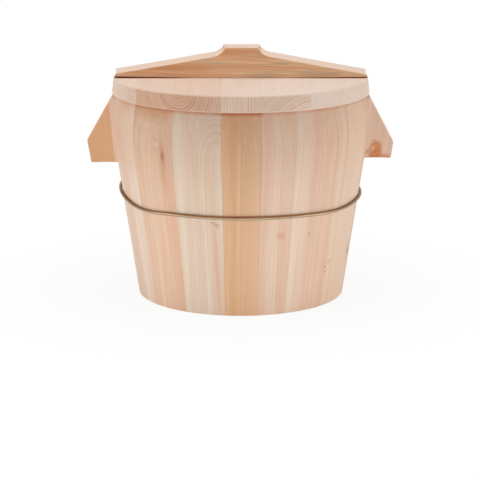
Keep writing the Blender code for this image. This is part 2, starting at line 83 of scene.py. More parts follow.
# %% Node maths in plain Python
class Wire:
    """One socket of a node tree. Arithmetic on wires adds Math nodes."""

    def __init__(self, tree, socket=None):
        self.tree = tree
        self.socket = socket

    def node(self, kind, settings=None, sockets=None, out=0):
        """Adds a node: its settings come first, then values or wires for its sockets."""
        made = self.tree.nodes.new(kind)
        for name, value in (settings or {}).items():
            setattr(made, name, value)
        for name, value in (sockets or {}).items():
            if isinstance(value, Wire):
                self.tree.links.new(value.socket, made.inputs[name])
            else:
                made.inputs[name].default_value = value
        return Wire(self.tree, made.outputs[out] if len(made.outputs) else None)

    def maths(self, operation, *values):
        return self.node("ShaderNodeMath", {"operation": operation}, dict(enumerate(values)))

    def vector(self, operation, *values, out=0):
        return self.node("ShaderNodeVectorMath", {"operation": operation}, dict(enumerate(values)), out)

    def __add__(self, other):
        return self.maths("ADD", self, other)

    def __radd__(self, other):
        return self.maths("ADD", other, self)

    def __sub__(self, other):
        return self.maths("SUBTRACT", self, other)

    def __rsub__(self, other):
        return self.maths("SUBTRACT", other, self)

    def __mul__(self, other):
        return self.maths("MULTIPLY", self, other)

    def __rmul__(self, other):
        return self.maths("MULTIPLY", other, self)

    def __truediv__(self, other):
        return self.maths("DIVIDE", self, other)

    def __rtruediv__(self, other):
        return self.maths("DIVIDE", other, self)

    def root(self):
        return self.maths("SQRT", self)

    def unsigned(self):
        return self.maths("ABSOLUTE", self)

    def clipped(self):
        """This value held between nothing and one."""
        return self.maths("MINIMUM", self.maths("MAXIMUM", self, 0.0), 1.0)

    def band(self, start, end):
        """Nothing at start, one at end, with a soft step between. Start may be the larger."""
        return self.node("ShaderNodeMapRange", {"interpolation_type": "SMOOTHSTEP"},
                         {"Value": self, "From Min": start, "From Max": end})

    def along(self, direction):
        """How far this vector points along a direction."""
        return self.vector("DOT_PRODUCT", self, direction, out=1)

    def at(self, x, y, z):
        """A vector from three values."""
        return self.node("ShaderNodeCombineXYZ", sockets={0: x, 1: y, 2: z})

    def parts(self):
        """The x, y and z of a vector."""
        first = self.node("ShaderNodeSeparateXYZ", sockets={0: self})
        return [Wire(self.tree, socket) for socket in first.socket.node.outputs]

    def between(self, first, second):
        """A colour that turns from the first to the second as this value goes from nothing to one."""
        return self.node("ShaderNodeMix", {"data_type": "RGBA"}, {0: self, 6: first, 7: second}, out=2)

    def mixed(self, share, other, mode="MIX"):
        """This colour with a share of another one."""
        return self.node("ShaderNodeMix", {"data_type": "RGBA", "blend_type": mode},
                         {0: share, 6: self, 7: other}, out=2)


print("wire: arithmetic, and", sum(not name.startswith("_") for name in vars(Wire)), "named steps")

# %% [markdown]
# ## The studio
# The photograph has a plain white ground. More light on the floor would make it white too, but it would
# also wash out the pale wood. So the floor is only pale, and to the camera and to shiny metal it glows plain
# white, a little less near the steamer, where a soft shadow still shows on it.


# %% The studio
def new_material(name):
    """An empty node tree for a finish, and a wire to start it from."""
    material = bpy.data.materials.new(name)
    material.use_nodes = True
    material.node_tree.nodes.clear()
    return material, Wire(material.node_tree)


def seen_directly(start):
    """One for rays from the camera, a mirror or glass, nothing for light that bounces on."""
    path = start.node("ShaderNodeLightPath").socket.node.outputs
    camera_ray, glossy, clear = [Wire(start.tree, path[n]) for n in
                                 ("Is Camera Ray", "Is Glossy Ray", "Is Transmission Ray")]
    return (camera_ray + glossy + clear).clipped()


FLOOR_SIDE = 14.0
FLOOR_DROP = 0.0002
FLOOR_WHITE = (0.90, 0.90, 0.90, 1.0)
WHITE = (1.0, 1.0, 1.0, 1.0)
FLOOR_GLOW = 0.91
GLOW_NEAR = 0.18
GLOW_FAR = 0.33
WORLD_LIGHT = 0.26

floor_paint, start = new_material("studio_white")
matte = start.node("ShaderNodeBsdfDiffuse", sockets={"Color": FLOOR_WHITE})
glow = start.node("ShaderNodeEmission", sockets={"Color": WHITE, "Strength": 1.0})
from_middle = start.vector("LENGTH", start.node("ShaderNodeTexCoord", out="Object"), out=1)
share = FLOOR_GLOW + from_middle.band(GLOW_NEAR, GLOW_FAR) * (1.0 - FLOOR_GLOW)
both = start.node("ShaderNodeMixShader", sockets={0: seen_directly(start) * share, 1: matte, 2: glow})
start.node("ShaderNodeOutputMaterial", sockets={"Surface": both})

floor_mesh = bpy.data.meshes.new("studio_floor")
half = FLOOR_SIDE / 2.0
corners = [(-half, -half, 0.0), (half, -half, 0.0), (half, half, 0.0), (-half, half, 0.0)]
floor_mesh.from_pydata(corners, [], [(0, 1, 2, 3)])
floor_mesh.materials.append(floor_paint)
studio_floor = bpy.data.objects.new("studio_floor", floor_mesh)
studio_floor.location.z = -FLOOR_DROP
bpy.context.scene.collection.objects.link(studio_floor)

world = bpy.data.worlds.new("studio_world")
world.use_nodes = True
world.node_tree.nodes.clear()
start = Wire(world.node_tree)
strength = WORLD_LIGHT + seen_directly(start) * (1.0 - WORLD_LIGHT)
sky = start.node("ShaderNodeBackground", sockets={"Color": WHITE, "Strength": strength})
start.node("ShaderNodeOutputWorld", sockets={"Surface": sky})
bpy.context.scene.world = world
print("studio: world", WORLD_LIGHT, "floor glow", FLOOR_GLOW)

# %% [markdown]
# ## The lamps
# One strong lamp would throw hard shadows, so the light comes from large flat ones: one above, one at each
# side, and a low strip in front for the light that a bright table throws up under the lid. They are set so
# that a colour renders about as it is written.


# %% The lamps
def softbox(name, place, aim, width, height, power):
    """A large flat lamp that shines from a place towards a point."""
    light = bpy.data.lights.new(name, "AREA")
    light.shape = "RECTANGLE"
    light.size = width
    light.size_y = height
    light.energy = power
    lamp = bpy.data.objects.new(name, light)
    lamp.location = place
    lamp.rotation_euler = (Vector(aim) - Vector(place)).to_track_quat("-Z", "Y").to_euler()
    lamp.visible_camera = False
    bpy.context.scene.collection.objects.link(lamp)


softbox("softbox_above", (0.0, 0.1, 1.7), (0.0, 0.1, 0.0), width=1.2, height=1.2, power=16.9)
softbox("softbox_left", (-1.7, -0.5, 0.35), (0.0, 0.0, 0.1), width=0.9, height=0.9, power=11.2)
softbox("softbox_right", (1.7, -0.5, 0.35), (0.0, 0.0, 0.1), width=0.9, height=0.9, power=11.2)
softbox("softbox_low", (0.0, -0.35, 0.015), (0.0, -0.10, 0.015), width=0.7, height=0.05, power=0.40)
print("lamps:", [round(light.energy, 2) for light in bpy.data.lights])

# %% [markdown]
# ## Fir, as a solid
# Fir shows growth rings: a wide pale band of early wood and a narrow darker line of late wood each year.
# A picture wrapped round a board can't show how the same rings run over its face, its edge and its end.
# So the finish is a solid: every point of a board asks how far it lies from the tree's pith, and the
# distance says which ring it is in. A board cut near the pith shows arches and a board cut far from it
# shows straight lines, as on the real staves. This cell says where a board lay in its tree, and makes the
# noise that varies every finish here.


# %% Fir, as a solid
def tone(red, green, blue):
    """A colour as it looks on a screen, from 0 to 255, as the linear colour that nodes use."""
    linear = []
    for value in (red, green, blue):
        share = value / 255.0
        linear.append(share / 12.92 if share <= 0.04045 else ((share + 0.055) / 1.055) ** 2.4)
    return (*linear, 1.0)


def wood_place(centre, grain, across, pith):
    """Where a board lay in its tree. The pith is given from the board's centre, across it and into it."""
    grain = Vector(grain).normalized()
    across = Vector(across)
    across = (across - grain * across.dot(grain)).normalized()
    turn = Matrix((across, grain.cross(across), grain))
    shift = -(turn @ Vector(centre)) - Vector((pith[0], pith[1], 0.0))
    return {"turn": turn, "shift": shift, "pith": pith, "grain": grain}


def noise(vector, scales, seed, detail=2.0, roughness=0.5, out=0):
    """Soft noise, drawn out along one axis by giving that axis a smaller scale."""
    scaled = vector.vector("MULTIPLY", vector, scales)
    return scaled.node("ShaderNodeTexNoise", {"noise_dimensions": "4D"},
                       {"Vector": scaled, "W": seed, "Scale": 1.0, "Detail": detail,
                        "Roughness": roughness}, out)


print("fir: a screen grey of 128 is", round(tone(128, 128, 128)[0], 3), "to a node")

# %% [markdown]
# ## Growth rings
# A line of late wood ends each year. It darkens slowly and stops short, years differ in width, and some leave
# a fainter line. A Wave texture draws rings too, but all alike, so the lines are worked out here from the
# distance to the pith, counted in years.

# %% Growth rings
YEAR_SCALE = 90.0
YEAR_SPREAD = 2.4
YEAR_FAINTEST = 0.25
LATE_WOOD = (0.35, 0.92)
LATE_WOOD_END = (1.0, 0.94)


def late_wood_lines(distance, ring, seed):
    """One on the dark line that ends each year's ring, nothing in the pale wood between."""
    uneven = distance.node("ShaderNodeTexNoise", {"noise_dimensions": "1D"},
                           {"W": distance * YEAR_SCALE + seed * 7.0, "Scale": 1.0, "Detail": 1.0})
    years = distance / ring + uneven * YEAR_SPREAD
    growth = years.maths("FRACT", years)
    year = years.node("ShaderNodeTexWhiteNoise", {"noise_dimensions": "1D"},
                      {"W": years.maths("FLOOR", years) + seed})
    strength = year * (1.0 - YEAR_FAINTEST) + YEAR_FAINTEST
    return growth.band(*LATE_WOOD) * growth.band(*LATE_WOOD_END) * strength


print("rings: late wood from", LATE_WOOD[0], "of each year")

# %% [markdown]
# ## Knots and smears
# A knot is where a branch left the trunk: it pushes the rings aside, its core is dark and the wood round it
# is warm. A smear has only the warm part, such as a patch of resin or a stain. Both could be painted on a
# face, but as part of the solid they also run on over the edge and the end of a board.

# %% Knots and smears
KNOT_TONE = (132, 76, 40)
KNOT_STRETCH = 1.8
KNOT_ROUGH = 0.9
KNOT_BEND = 1.5
KNOT_PUSH = 0.16
KNOT_CORE = (1.3, 0.4)
EYE_CORE = (0.6, 0.2)
EYE_RING = (0.65, 0.9, 1.05, 1.35)
EYE_RING_SHARE = 0.6
HALO_TONE = (200, 142, 104)
HALO_REACH = 2.4
HALO_FULL = 0.6
HALO_SHARE = 0.4
SMEAR_REACH = 1.6


def knot(across, along, size, dark, **rest):
    """A knot, placed from the middle of its board. The rest may stretch, roughen, tint or bend it."""
    return dict(at=(across, along), size=size, dark=dark, **rest)


def smear(across, along, size, stretch, tint, warm, **rest):
    """A tinted mark with no dark core. The rings run straight past it, unless it is given a bend."""
    plain = dict(stretch=stretch, tint=tint, warm=warm, halo=SMEAR_REACH, bend=0.0)
    return knot(across, along, size, 0.0, **{**plain, **rest})


def past_knots(knots, place, x, y, z, wander):
    """How far each point is from each knot, counted in knots, and y as the knots have pushed the rings."""
    reaches = []
    for mark in knots:
        if mark.get("cross"):
            side = y - (mark["at"][0] - place["pith"][1])
        else:
            side = x - (mark["at"][0] - place["pith"][0])
        aside = side / mark["size"]
        length = (z - mark["at"][1]) / (mark["size"] * mark.get("stretch", KNOT_STRETCH))
        reach = (aside * aside + length * length).root() + (wander - 0.5) * mark.get("rough", KNOT_ROUGH)
        reaches.append(reach)
        bend = mark.get("bend", KNOT_BEND * mark["size"])
        if bend:
            y = y + reach.maths("EXPONENT", reach * reach * -KNOT_PUSH) * bend
    return reaches, y


def marked(colour, knots, reaches):
    """A colour with its knots and smears painted in."""
    for mark, reach in zip(knots, reaches):
        dark = mark["dark"]
        halo = reach.band(mark.get("halo", HALO_REACH), HALO_FULL) * mark.get("warm", HALO_SHARE * dark)
        colour = colour.mixed(halo, tone(*mark.get("tint", HALO_TONE)))
        core = reach.band(*KNOT_CORE)
        if mark.get("eye"):
            first, full, fade, last = EYE_RING
            core = reach.band(*EYE_CORE) + reach.band(first, full) * reach.band(last, fade) * EYE_RING_SHARE
        if dark:
            colour = colour.mixed(core * dark, tone(*KNOT_TONE))
    return colour


print("knots: a plain one is", KNOT_STRETCH, "times as long as it is wide")

# %% [markdown]
# ## Painted light and shade
# The handle's upper side is painted paler, as if lit from above, and painted shade darkens the tops of the
# staves under the lid's edge and the lid close under the handle's ends. A painted mask could hold such
# marks, but each follows from which way the wood faces, how high it lies, or what covers it. So each is
# worked out from that.

# %% Painted light and shade
UP = (0.0, 0.0, 1.0)
LIT_TOP_BAND = (0.45, 0.85)
LIT_TOP_SHARE = 0.85
# Painted shade on the lid close under the handle's ends.
HANDLE_SHADE_REACH = (0.0042, 0.0004)
HANDLE_SHADE_ENDS = (0.035, 0.085)
HANDLE_SHADE_SKIN = (0.0010, 0.0002)
HANDLE_SHADE_SHARE = 0.9


def painted_light(colour, coordinates, normal, lit_top_tone, shade_under_lid, covered):
    """A colour with painted light and shade on it, each where it is asked for."""
    along, depth, height = coordinates.parts()
    if lit_top_tone:
        # Painted highlight: wood that faces up is made paler, as if lit from above.
        colour = colour.mixed(normal.along(UP).band(*LIT_TOP_BAND) * LIT_TOP_SHARE, tone(*lit_top_tone))
    if shade_under_lid:
        # Painted shade: a band at a given height is darkened, on the staves just under the lid's edge.
        low, high, shade_under_lid_tone, share = shade_under_lid
        colour = colour.mixed(height.band(low, high) * share, tone(*shade_under_lid_tone))
    if covered:
        # Painted shade: the lid's top is darkened close under the handle's ends.
        half, top, covered_tone = covered
        under = depth.unsigned().band(half + HANDLE_SHADE_REACH[0], half + HANDLE_SHADE_REACH[1])
        under = under * along.unsigned().band(*HANDLE_SHADE_ENDS)
        under = under * height.band(top - HANDLE_SHADE_SKIN[0], top - HANDLE_SHADE_SKIN[1])
        colour = colour.mixed(under * HANDLE_SHADE_SHARE, tone(*covered_tone))
    return colour


# The printed reach is that of the painted shade under the handle's ends.
print("painted shade: reaches", HANDLE_SHADE_REACH[0], "m out from under the handle")

# %% [markdown]
# ## One board's finish
# The finish goes from inside to outside: rings and darker heartwood, strips and streaks along the grain,
# knots, and then painted light and shade. End grain is darker because it soaks up more. Painted shade makes
# the tops of the staves darker and warmer, and a painted highlight keeps the lid's rounded edges pale. A
# little bump follows the fibres and the late wood, which is harder and stands proud. A ready picture of wood
# would be quicker, but it couldn't run on from the face of a board to its end.

# %% One board's finish
WANDER_SCALE = 14.0
BROAD_STREAKS = (55.0, 55.0, 2.0)
BROAD_BAND = (0.47, 0.66)
NARROW_BAND = (0.52, 0.72)
NARROW_SHARE = 0.6
PALE_BAND = (0.48, 0.28)
FIBRES = (900.0, 900.0, 16.0)
FIBRE_SHADE = 0.22
CLOUDS = (22.0, 22.0, 9.0)
CLOUD_SHADE = 0.12
END_SOFT = 0.32
END_FADE_SHARE = 0.55
LIT_EDGE_BELOW = 0.0014
LIT_EDGE_ABOVE = (0.0006, 0.0020)
RIM_SHADE_RUN = (-0.01, 0.10)
FOOT_LIGHT_TINT = (1.012, 1.030, 1.036, 1.0)
RIM_SHADE_TINT = (1.008, 0.972, 0.945, 1.0)
FIR_ROUGHNESS = 0.60
FIBRE_ROUGHENS = 0.2
LATE_WOOD_SMOOTHS = 0.08
FIR_GLOSS = 0.28
FIR_BUMP = 0.22
FIR_BUMP_DEPTH = 0.0004


def close_finish(start, height, strength, depth, sockets):
    """Ends a finish with a bump that follows a height, and a shader with the given sockets."""
    bump = start.node("ShaderNodeBump", sockets={"Strength": strength, "Distance": depth, "Height": height})
    skin = start.node("ShaderNodeBsdfPrincipled", sockets={**sockets, "Normal": bump})
    start.node("ShaderNodeOutputMaterial", sockets={"Surface": skin})


def fir(name, place, early, late, streak, pale, ring, contrast=0.35, end_contrast=0.7, sway=0.004, wave=3.5,
        rise=0.004, streaks=0.6, grain=(260.0, 5.0), end_tint=(0.84, 0.76, 0.70), end_from=0.6, end_fade=None,
        arris=None, heart=None, strips=(), knots=(), rim_shade=1.0, lit_top_tone=None, shade_under_lid=None, covered=None,
        seed=0.0):
    """The finish of one board, from its tones and the way that its growth rings lie."""
    material, start = new_material(name)
    coordinates = start.node("ShaderNodeTexCoord", out="Object")
    normal = start.node("ShaderNodeTexCoord", out="Normal")
    wood = start.node("ShaderNodeMapping", {"vector_type": "POINT"},
                      {"Vector": coordinates, "Location": place["shift"],
                       "Rotation": place["turn"].to_euler()})
    x, y, z = wood.parts()
    wander_x, wander_y, wander_z = noise(wood, (WANDER_SCALE, WANDER_SCALE, wave), seed, out=1).parts()
    x = x + (wander_x - 0.5) * sway
    y = y + (wander_y - 0.5) * sway
    reaches, y = past_knots(knots, place, x, y, z, wander_z)
    distance = (x * x + y * y).root() + z * rise
    late_wood = late_wood_lines(distance, ring, seed)
    broad = noise(wood, BROAD_STREAKS, seed + 3.0)
    narrow = noise(wood, (grain[0], grain[0], grain[1]), seed + 4.0)
    fibre = noise(wood, FIBRES, seed + 5.0, detail=3.0, roughness=0.65)
    cloud = noise(wood, CLOUDS, seed + 8.0)
    end = normal.along(place["grain"]).unsigned().band(end_from, end_from + END_SOFT)
    # Painted highlight: the end grain is left pale along the lid's rounded top and bottom edges, as if they
    # caught the light.
    if arris:
        height = coordinates.parts()[2]
        end = end * height.band(arris[0], arris[0] + LIT_EDGE_BELOW)
        end = end * height.band(arris[1] - LIT_EDGE_ABOVE[0], arris[1] - LIT_EDGE_ABOVE[1])
    colour = (late_wood * (contrast + end * (end_contrast - contrast))).between(tone(*early), tone(*late))
    if heart:
        radius, soft, share, heart_tone = heart
        colour = colour.mixed(distance.band(radius + soft, radius - soft) * share, tone(*heart_tone))
    for offset, width, strip_tone, share in strips:
        off = (x - (offset - place["pith"][0])) / width
        colour = colour.mixed(off.maths("EXPONENT", off * off * -1.0) * share, tone(*strip_tone))
    colour = colour.mixed(broad.band(*BROAD_BAND) * streaks, tone(*streak))
    colour = colour.mixed(narrow.band(*NARROW_BAND) * (NARROW_SHARE * streaks), tone(*streak))
    colour = colour.mixed(narrow.band(*PALE_BAND) * streaks, tone(*pale))
    colour = marked(colour, knots, reaches)
    colour = painted_light(colour, coordinates, normal, lit_top_tone, shade_under_lid, covered)
    if end_fade:
        first, last = [edge - place["pith"][0] for edge in end_fade]
        end = end * (1.0 - x.band(first, last) * END_FADE_SHARE)
    colour = colour.mixed(end, (*end_tint, 1.0), "MULTIPLY")
    lightness = 1.0 + (fibre - 0.5) * FIBRE_SHADE + (cloud - 0.5) * CLOUD_SHADE
    # Painted shade: the stave is darker and warmer towards the rim, and a little lighter and cooler at its
    # foot.
    if rim_shade < 1.0:
        rim_shade_mask = z.band(*RIM_SHADE_RUN)
        lightness = lightness * (1.0 - rim_shade_mask * (1.0 - rim_shade))
        colour = colour.vector("MULTIPLY", colour, rim_shade_mask.between(FOOT_LIGHT_TINT, RIM_SHADE_TINT))
    colour = colour.node("ShaderNodeVectorMath", {"operation": "SCALE"}, {0: colour, "Scale": lightness})
    rough = FIR_ROUGHNESS + (fibre - 0.5) * FIBRE_ROUGHENS - late_wood * LATE_WOOD_SMOOTHS
    close_finish(start, late_wood * 0.5 + fibre * 0.5, strength=FIR_BUMP, depth=FIR_BUMP_DEPTH,
                 sockets={"Base Color": colour, "Roughness": rough, "Specular IOR Level": FIR_GLOSS})
    return material


print("finish: roughness about", FIR_ROUGHNESS, "and gloss", FIR_GLOSS)

# %% [markdown]
# ## From a recipe to a plain mesh
# Every piece ends the same way: its modifiers are worked out into one plain mesh, its edges are eased a
# little, because a planed board has no razor edges, and it is hung on the CAD body that it moves with.


# %% From a recipe to a plain mesh
SAME_POINT = 1e-6
SHARP_EDGE = math.radians(50.0)


def make_plain(piece):
    """Works out a piece's modifiers into one plain mesh."""
    graph = bpy.context.evaluated_depsgraph_get()
    mesh = bpy.data.meshes.new_from_object(piece.evaluated_get(graph), preserve_all_data_layers=True,
                                           depsgraph=graph)
    piece.modifiers.clear()
    piece.data = mesh
    return piece


def new_piece(name, bm):
    """An object at the origin from a bmesh, its faces turned outwards."""
    bmesh.ops.remove_doubles(bm, verts=bm.verts, dist=SAME_POINT)
    bmesh.ops.recalc_face_normals(bm, faces=bm.faces)
    mesh = bpy.data.meshes.new(name)
    bm.to_mesh(mesh)
    bm.free()
    piece = bpy.data.objects.new(name, mesh)
    bpy.context.scene.collection.objects.link(piece)
    return piece


def drop_slivers(mesh):
    """Merges points that lie on each other, so that no face is left without an area."""
    bm = bmesh.new()
    bm.from_mesh(mesh)
    bmesh.ops.remove_doubles(bm, verts=bm.verts, dist=SAME_POINT)
    bm.to_mesh(mesh)
    bm.free()


def ease(piece, width, segments=2, angle=45.0):
    """Rounds a piece's edges by a small width and evens out its shading."""
    if width > 0.0:
        bevel = piece.modifiers.new("eased_edges", "BEVEL")
        bevel.width = width
        bevel.segments = segments
        bevel.limit_method = "ANGLE"
        bevel.angle_limit = math.radians(angle)
        make_plain(piece)
        drop_slivers(piece.data)
    piece.data.shade_smooth()
    piece.data.set_sharp_from_angle(angle=SHARP_EDGE)
    even = piece.modifiers.new("even_shading", "WEIGHTED_NORMAL")
    even.keep_sharp = True
    return make_plain(piece)


def dress(piece, finish):
    """Leaves a piece with one finish."""
    piece.data.materials.clear()
    piece.data.materials.append(finish)
    return piece


def hang(piece, body, finish_slot, *nodes):
    """The piece moves with a body and stands for CAD nodes, which are hidden. The finish slot is not used."""
    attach(piece, body)
    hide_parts(*nodes)
    return piece


print("pieces: edges sharper than", round(math.degrees(SHARP_EDGE)), "degrees stay sharp")

# %% [markdown]
# ## Trees with named inputs
# A Geometry Nodes tree could hold its numbers inside its nodes. With named inputs for its sizes it is a small
# tool instead: one tree serves fifteen staves, each with sizes of its own. These helpers open a tree, close
# it with real geometry and a finish, and run it.


# %% Trees with named inputs
def new_tree(name, inputs):
    """An empty Geometry Nodes tree with named inputs, and a wire from each of them."""
    tree = bpy.data.node_groups.new(name, "GeometryNodeTree")
    tree.is_modifier = True
    for label, kind in inputs:
        tree.interface.new_socket(label, in_out="INPUT", socket_type="NodeSocket" + kind)
    tree.interface.new_socket("Geometry", in_out="OUTPUT", socket_type="NodeSocketGeometry")
    outputs = tree.nodes.new("NodeGroupInput").outputs
    return tree, {label: Wire(tree, outputs[label]) for label, kind in inputs}


def close_tree(shape, finish):
    """Ends a tree with real geometry that has its finish on."""
    real = shape.node("GeometryNodeRealizeInstances", sockets={"Geometry": shape})
    dressed = real.node("GeometryNodeSetMaterial", sockets={"Geometry": real, "Material": finish})
    dressed.node("NodeGroupOutput", sockets={"Geometry": dressed})


def grow(name, tree, values, mesh=None):
    """Runs a tree with its inputs set by their identifiers, and keeps the result as a plain mesh."""
    piece = bpy.data.objects.new(name, mesh or bpy.data.meshes.new(name))
    bpy.context.scene.collection.objects.link(piece)
    modifier = piece.modifiers.new("grow", "NODES")
    modifier.node_group = tree
    for item in tree.interface.items_tree:
        if item.in_out == "INPUT" and item.name in values:
            modifier[item.identifier] = values[item.name]
    return make_plain(piece)


print("trees: so far", len(bpy.data.node_groups))

# %% [markdown]
# ## The barrel's curve
# A stave's outer face is straight for three quarters of its height and then turns in on an arc, which
# makes the belly under the rim. The radii and angles are measured on the CAD staves, and the arc and the
# straight run that touches it follow from them.

# %% The barrel's curve
BELLY_ARC = 0.145
BELLY_SWELL = 0.0033
LEVEL = 1e-5


def node_points(node):
    return [v.co.copy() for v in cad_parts[node].data.vertices]


stave_points = [p for n in range(1, 16) for p in node_points(f"stave_{n:02d}")]
barrel_height = max(p.z for p in stave_points)
at_base = [p.to_2d().length for p in stave_points if p.z < LEVEL]
at_rim = [p.to_2d().length for p in stave_points if p.z > barrel_height - LEVEL]
base_radius, base_inside = max(at_base), min(at_base)
rim_radius, rim_inside = max(at_rim), min(at_rim)
belly_centre = rim_radius + BELLY_SWELL - BELLY_ARC
belly_height = barrel_height - math.sqrt(BELLY_ARC ** 2 - (rim_radius - belly_centre) ** 2)
across = belly_centre - base_radius
touch = math.atan2(belly_height, across) - math.asin(BELLY_ARC / math.hypot(across, belly_height))
taper_top = math.sqrt(across ** 2 + belly_height ** 2 - BELLY_ARC ** 2) * math.sin(touch)
taper_slope = 1.0 / math.tan(touch)
inner_slope = (rim_inside - base_inside) / barrel_height


def outer_radius(z):
    if z < taper_top:
        return base_radius + taper_slope * z
    return belly_centre + math.sqrt(BELLY_ARC ** 2 - (z - belly_height) ** 2)


def inner_radius(z):
    return base_inside + inner_slope * z


print("barrel: base", round(base_radius, 4), "rim", round(rim_radius, 4), "height", round(barrel_height, 4),
      "taper", round(math.degrees(math.atan(taper_slope)), 2), "degrees")
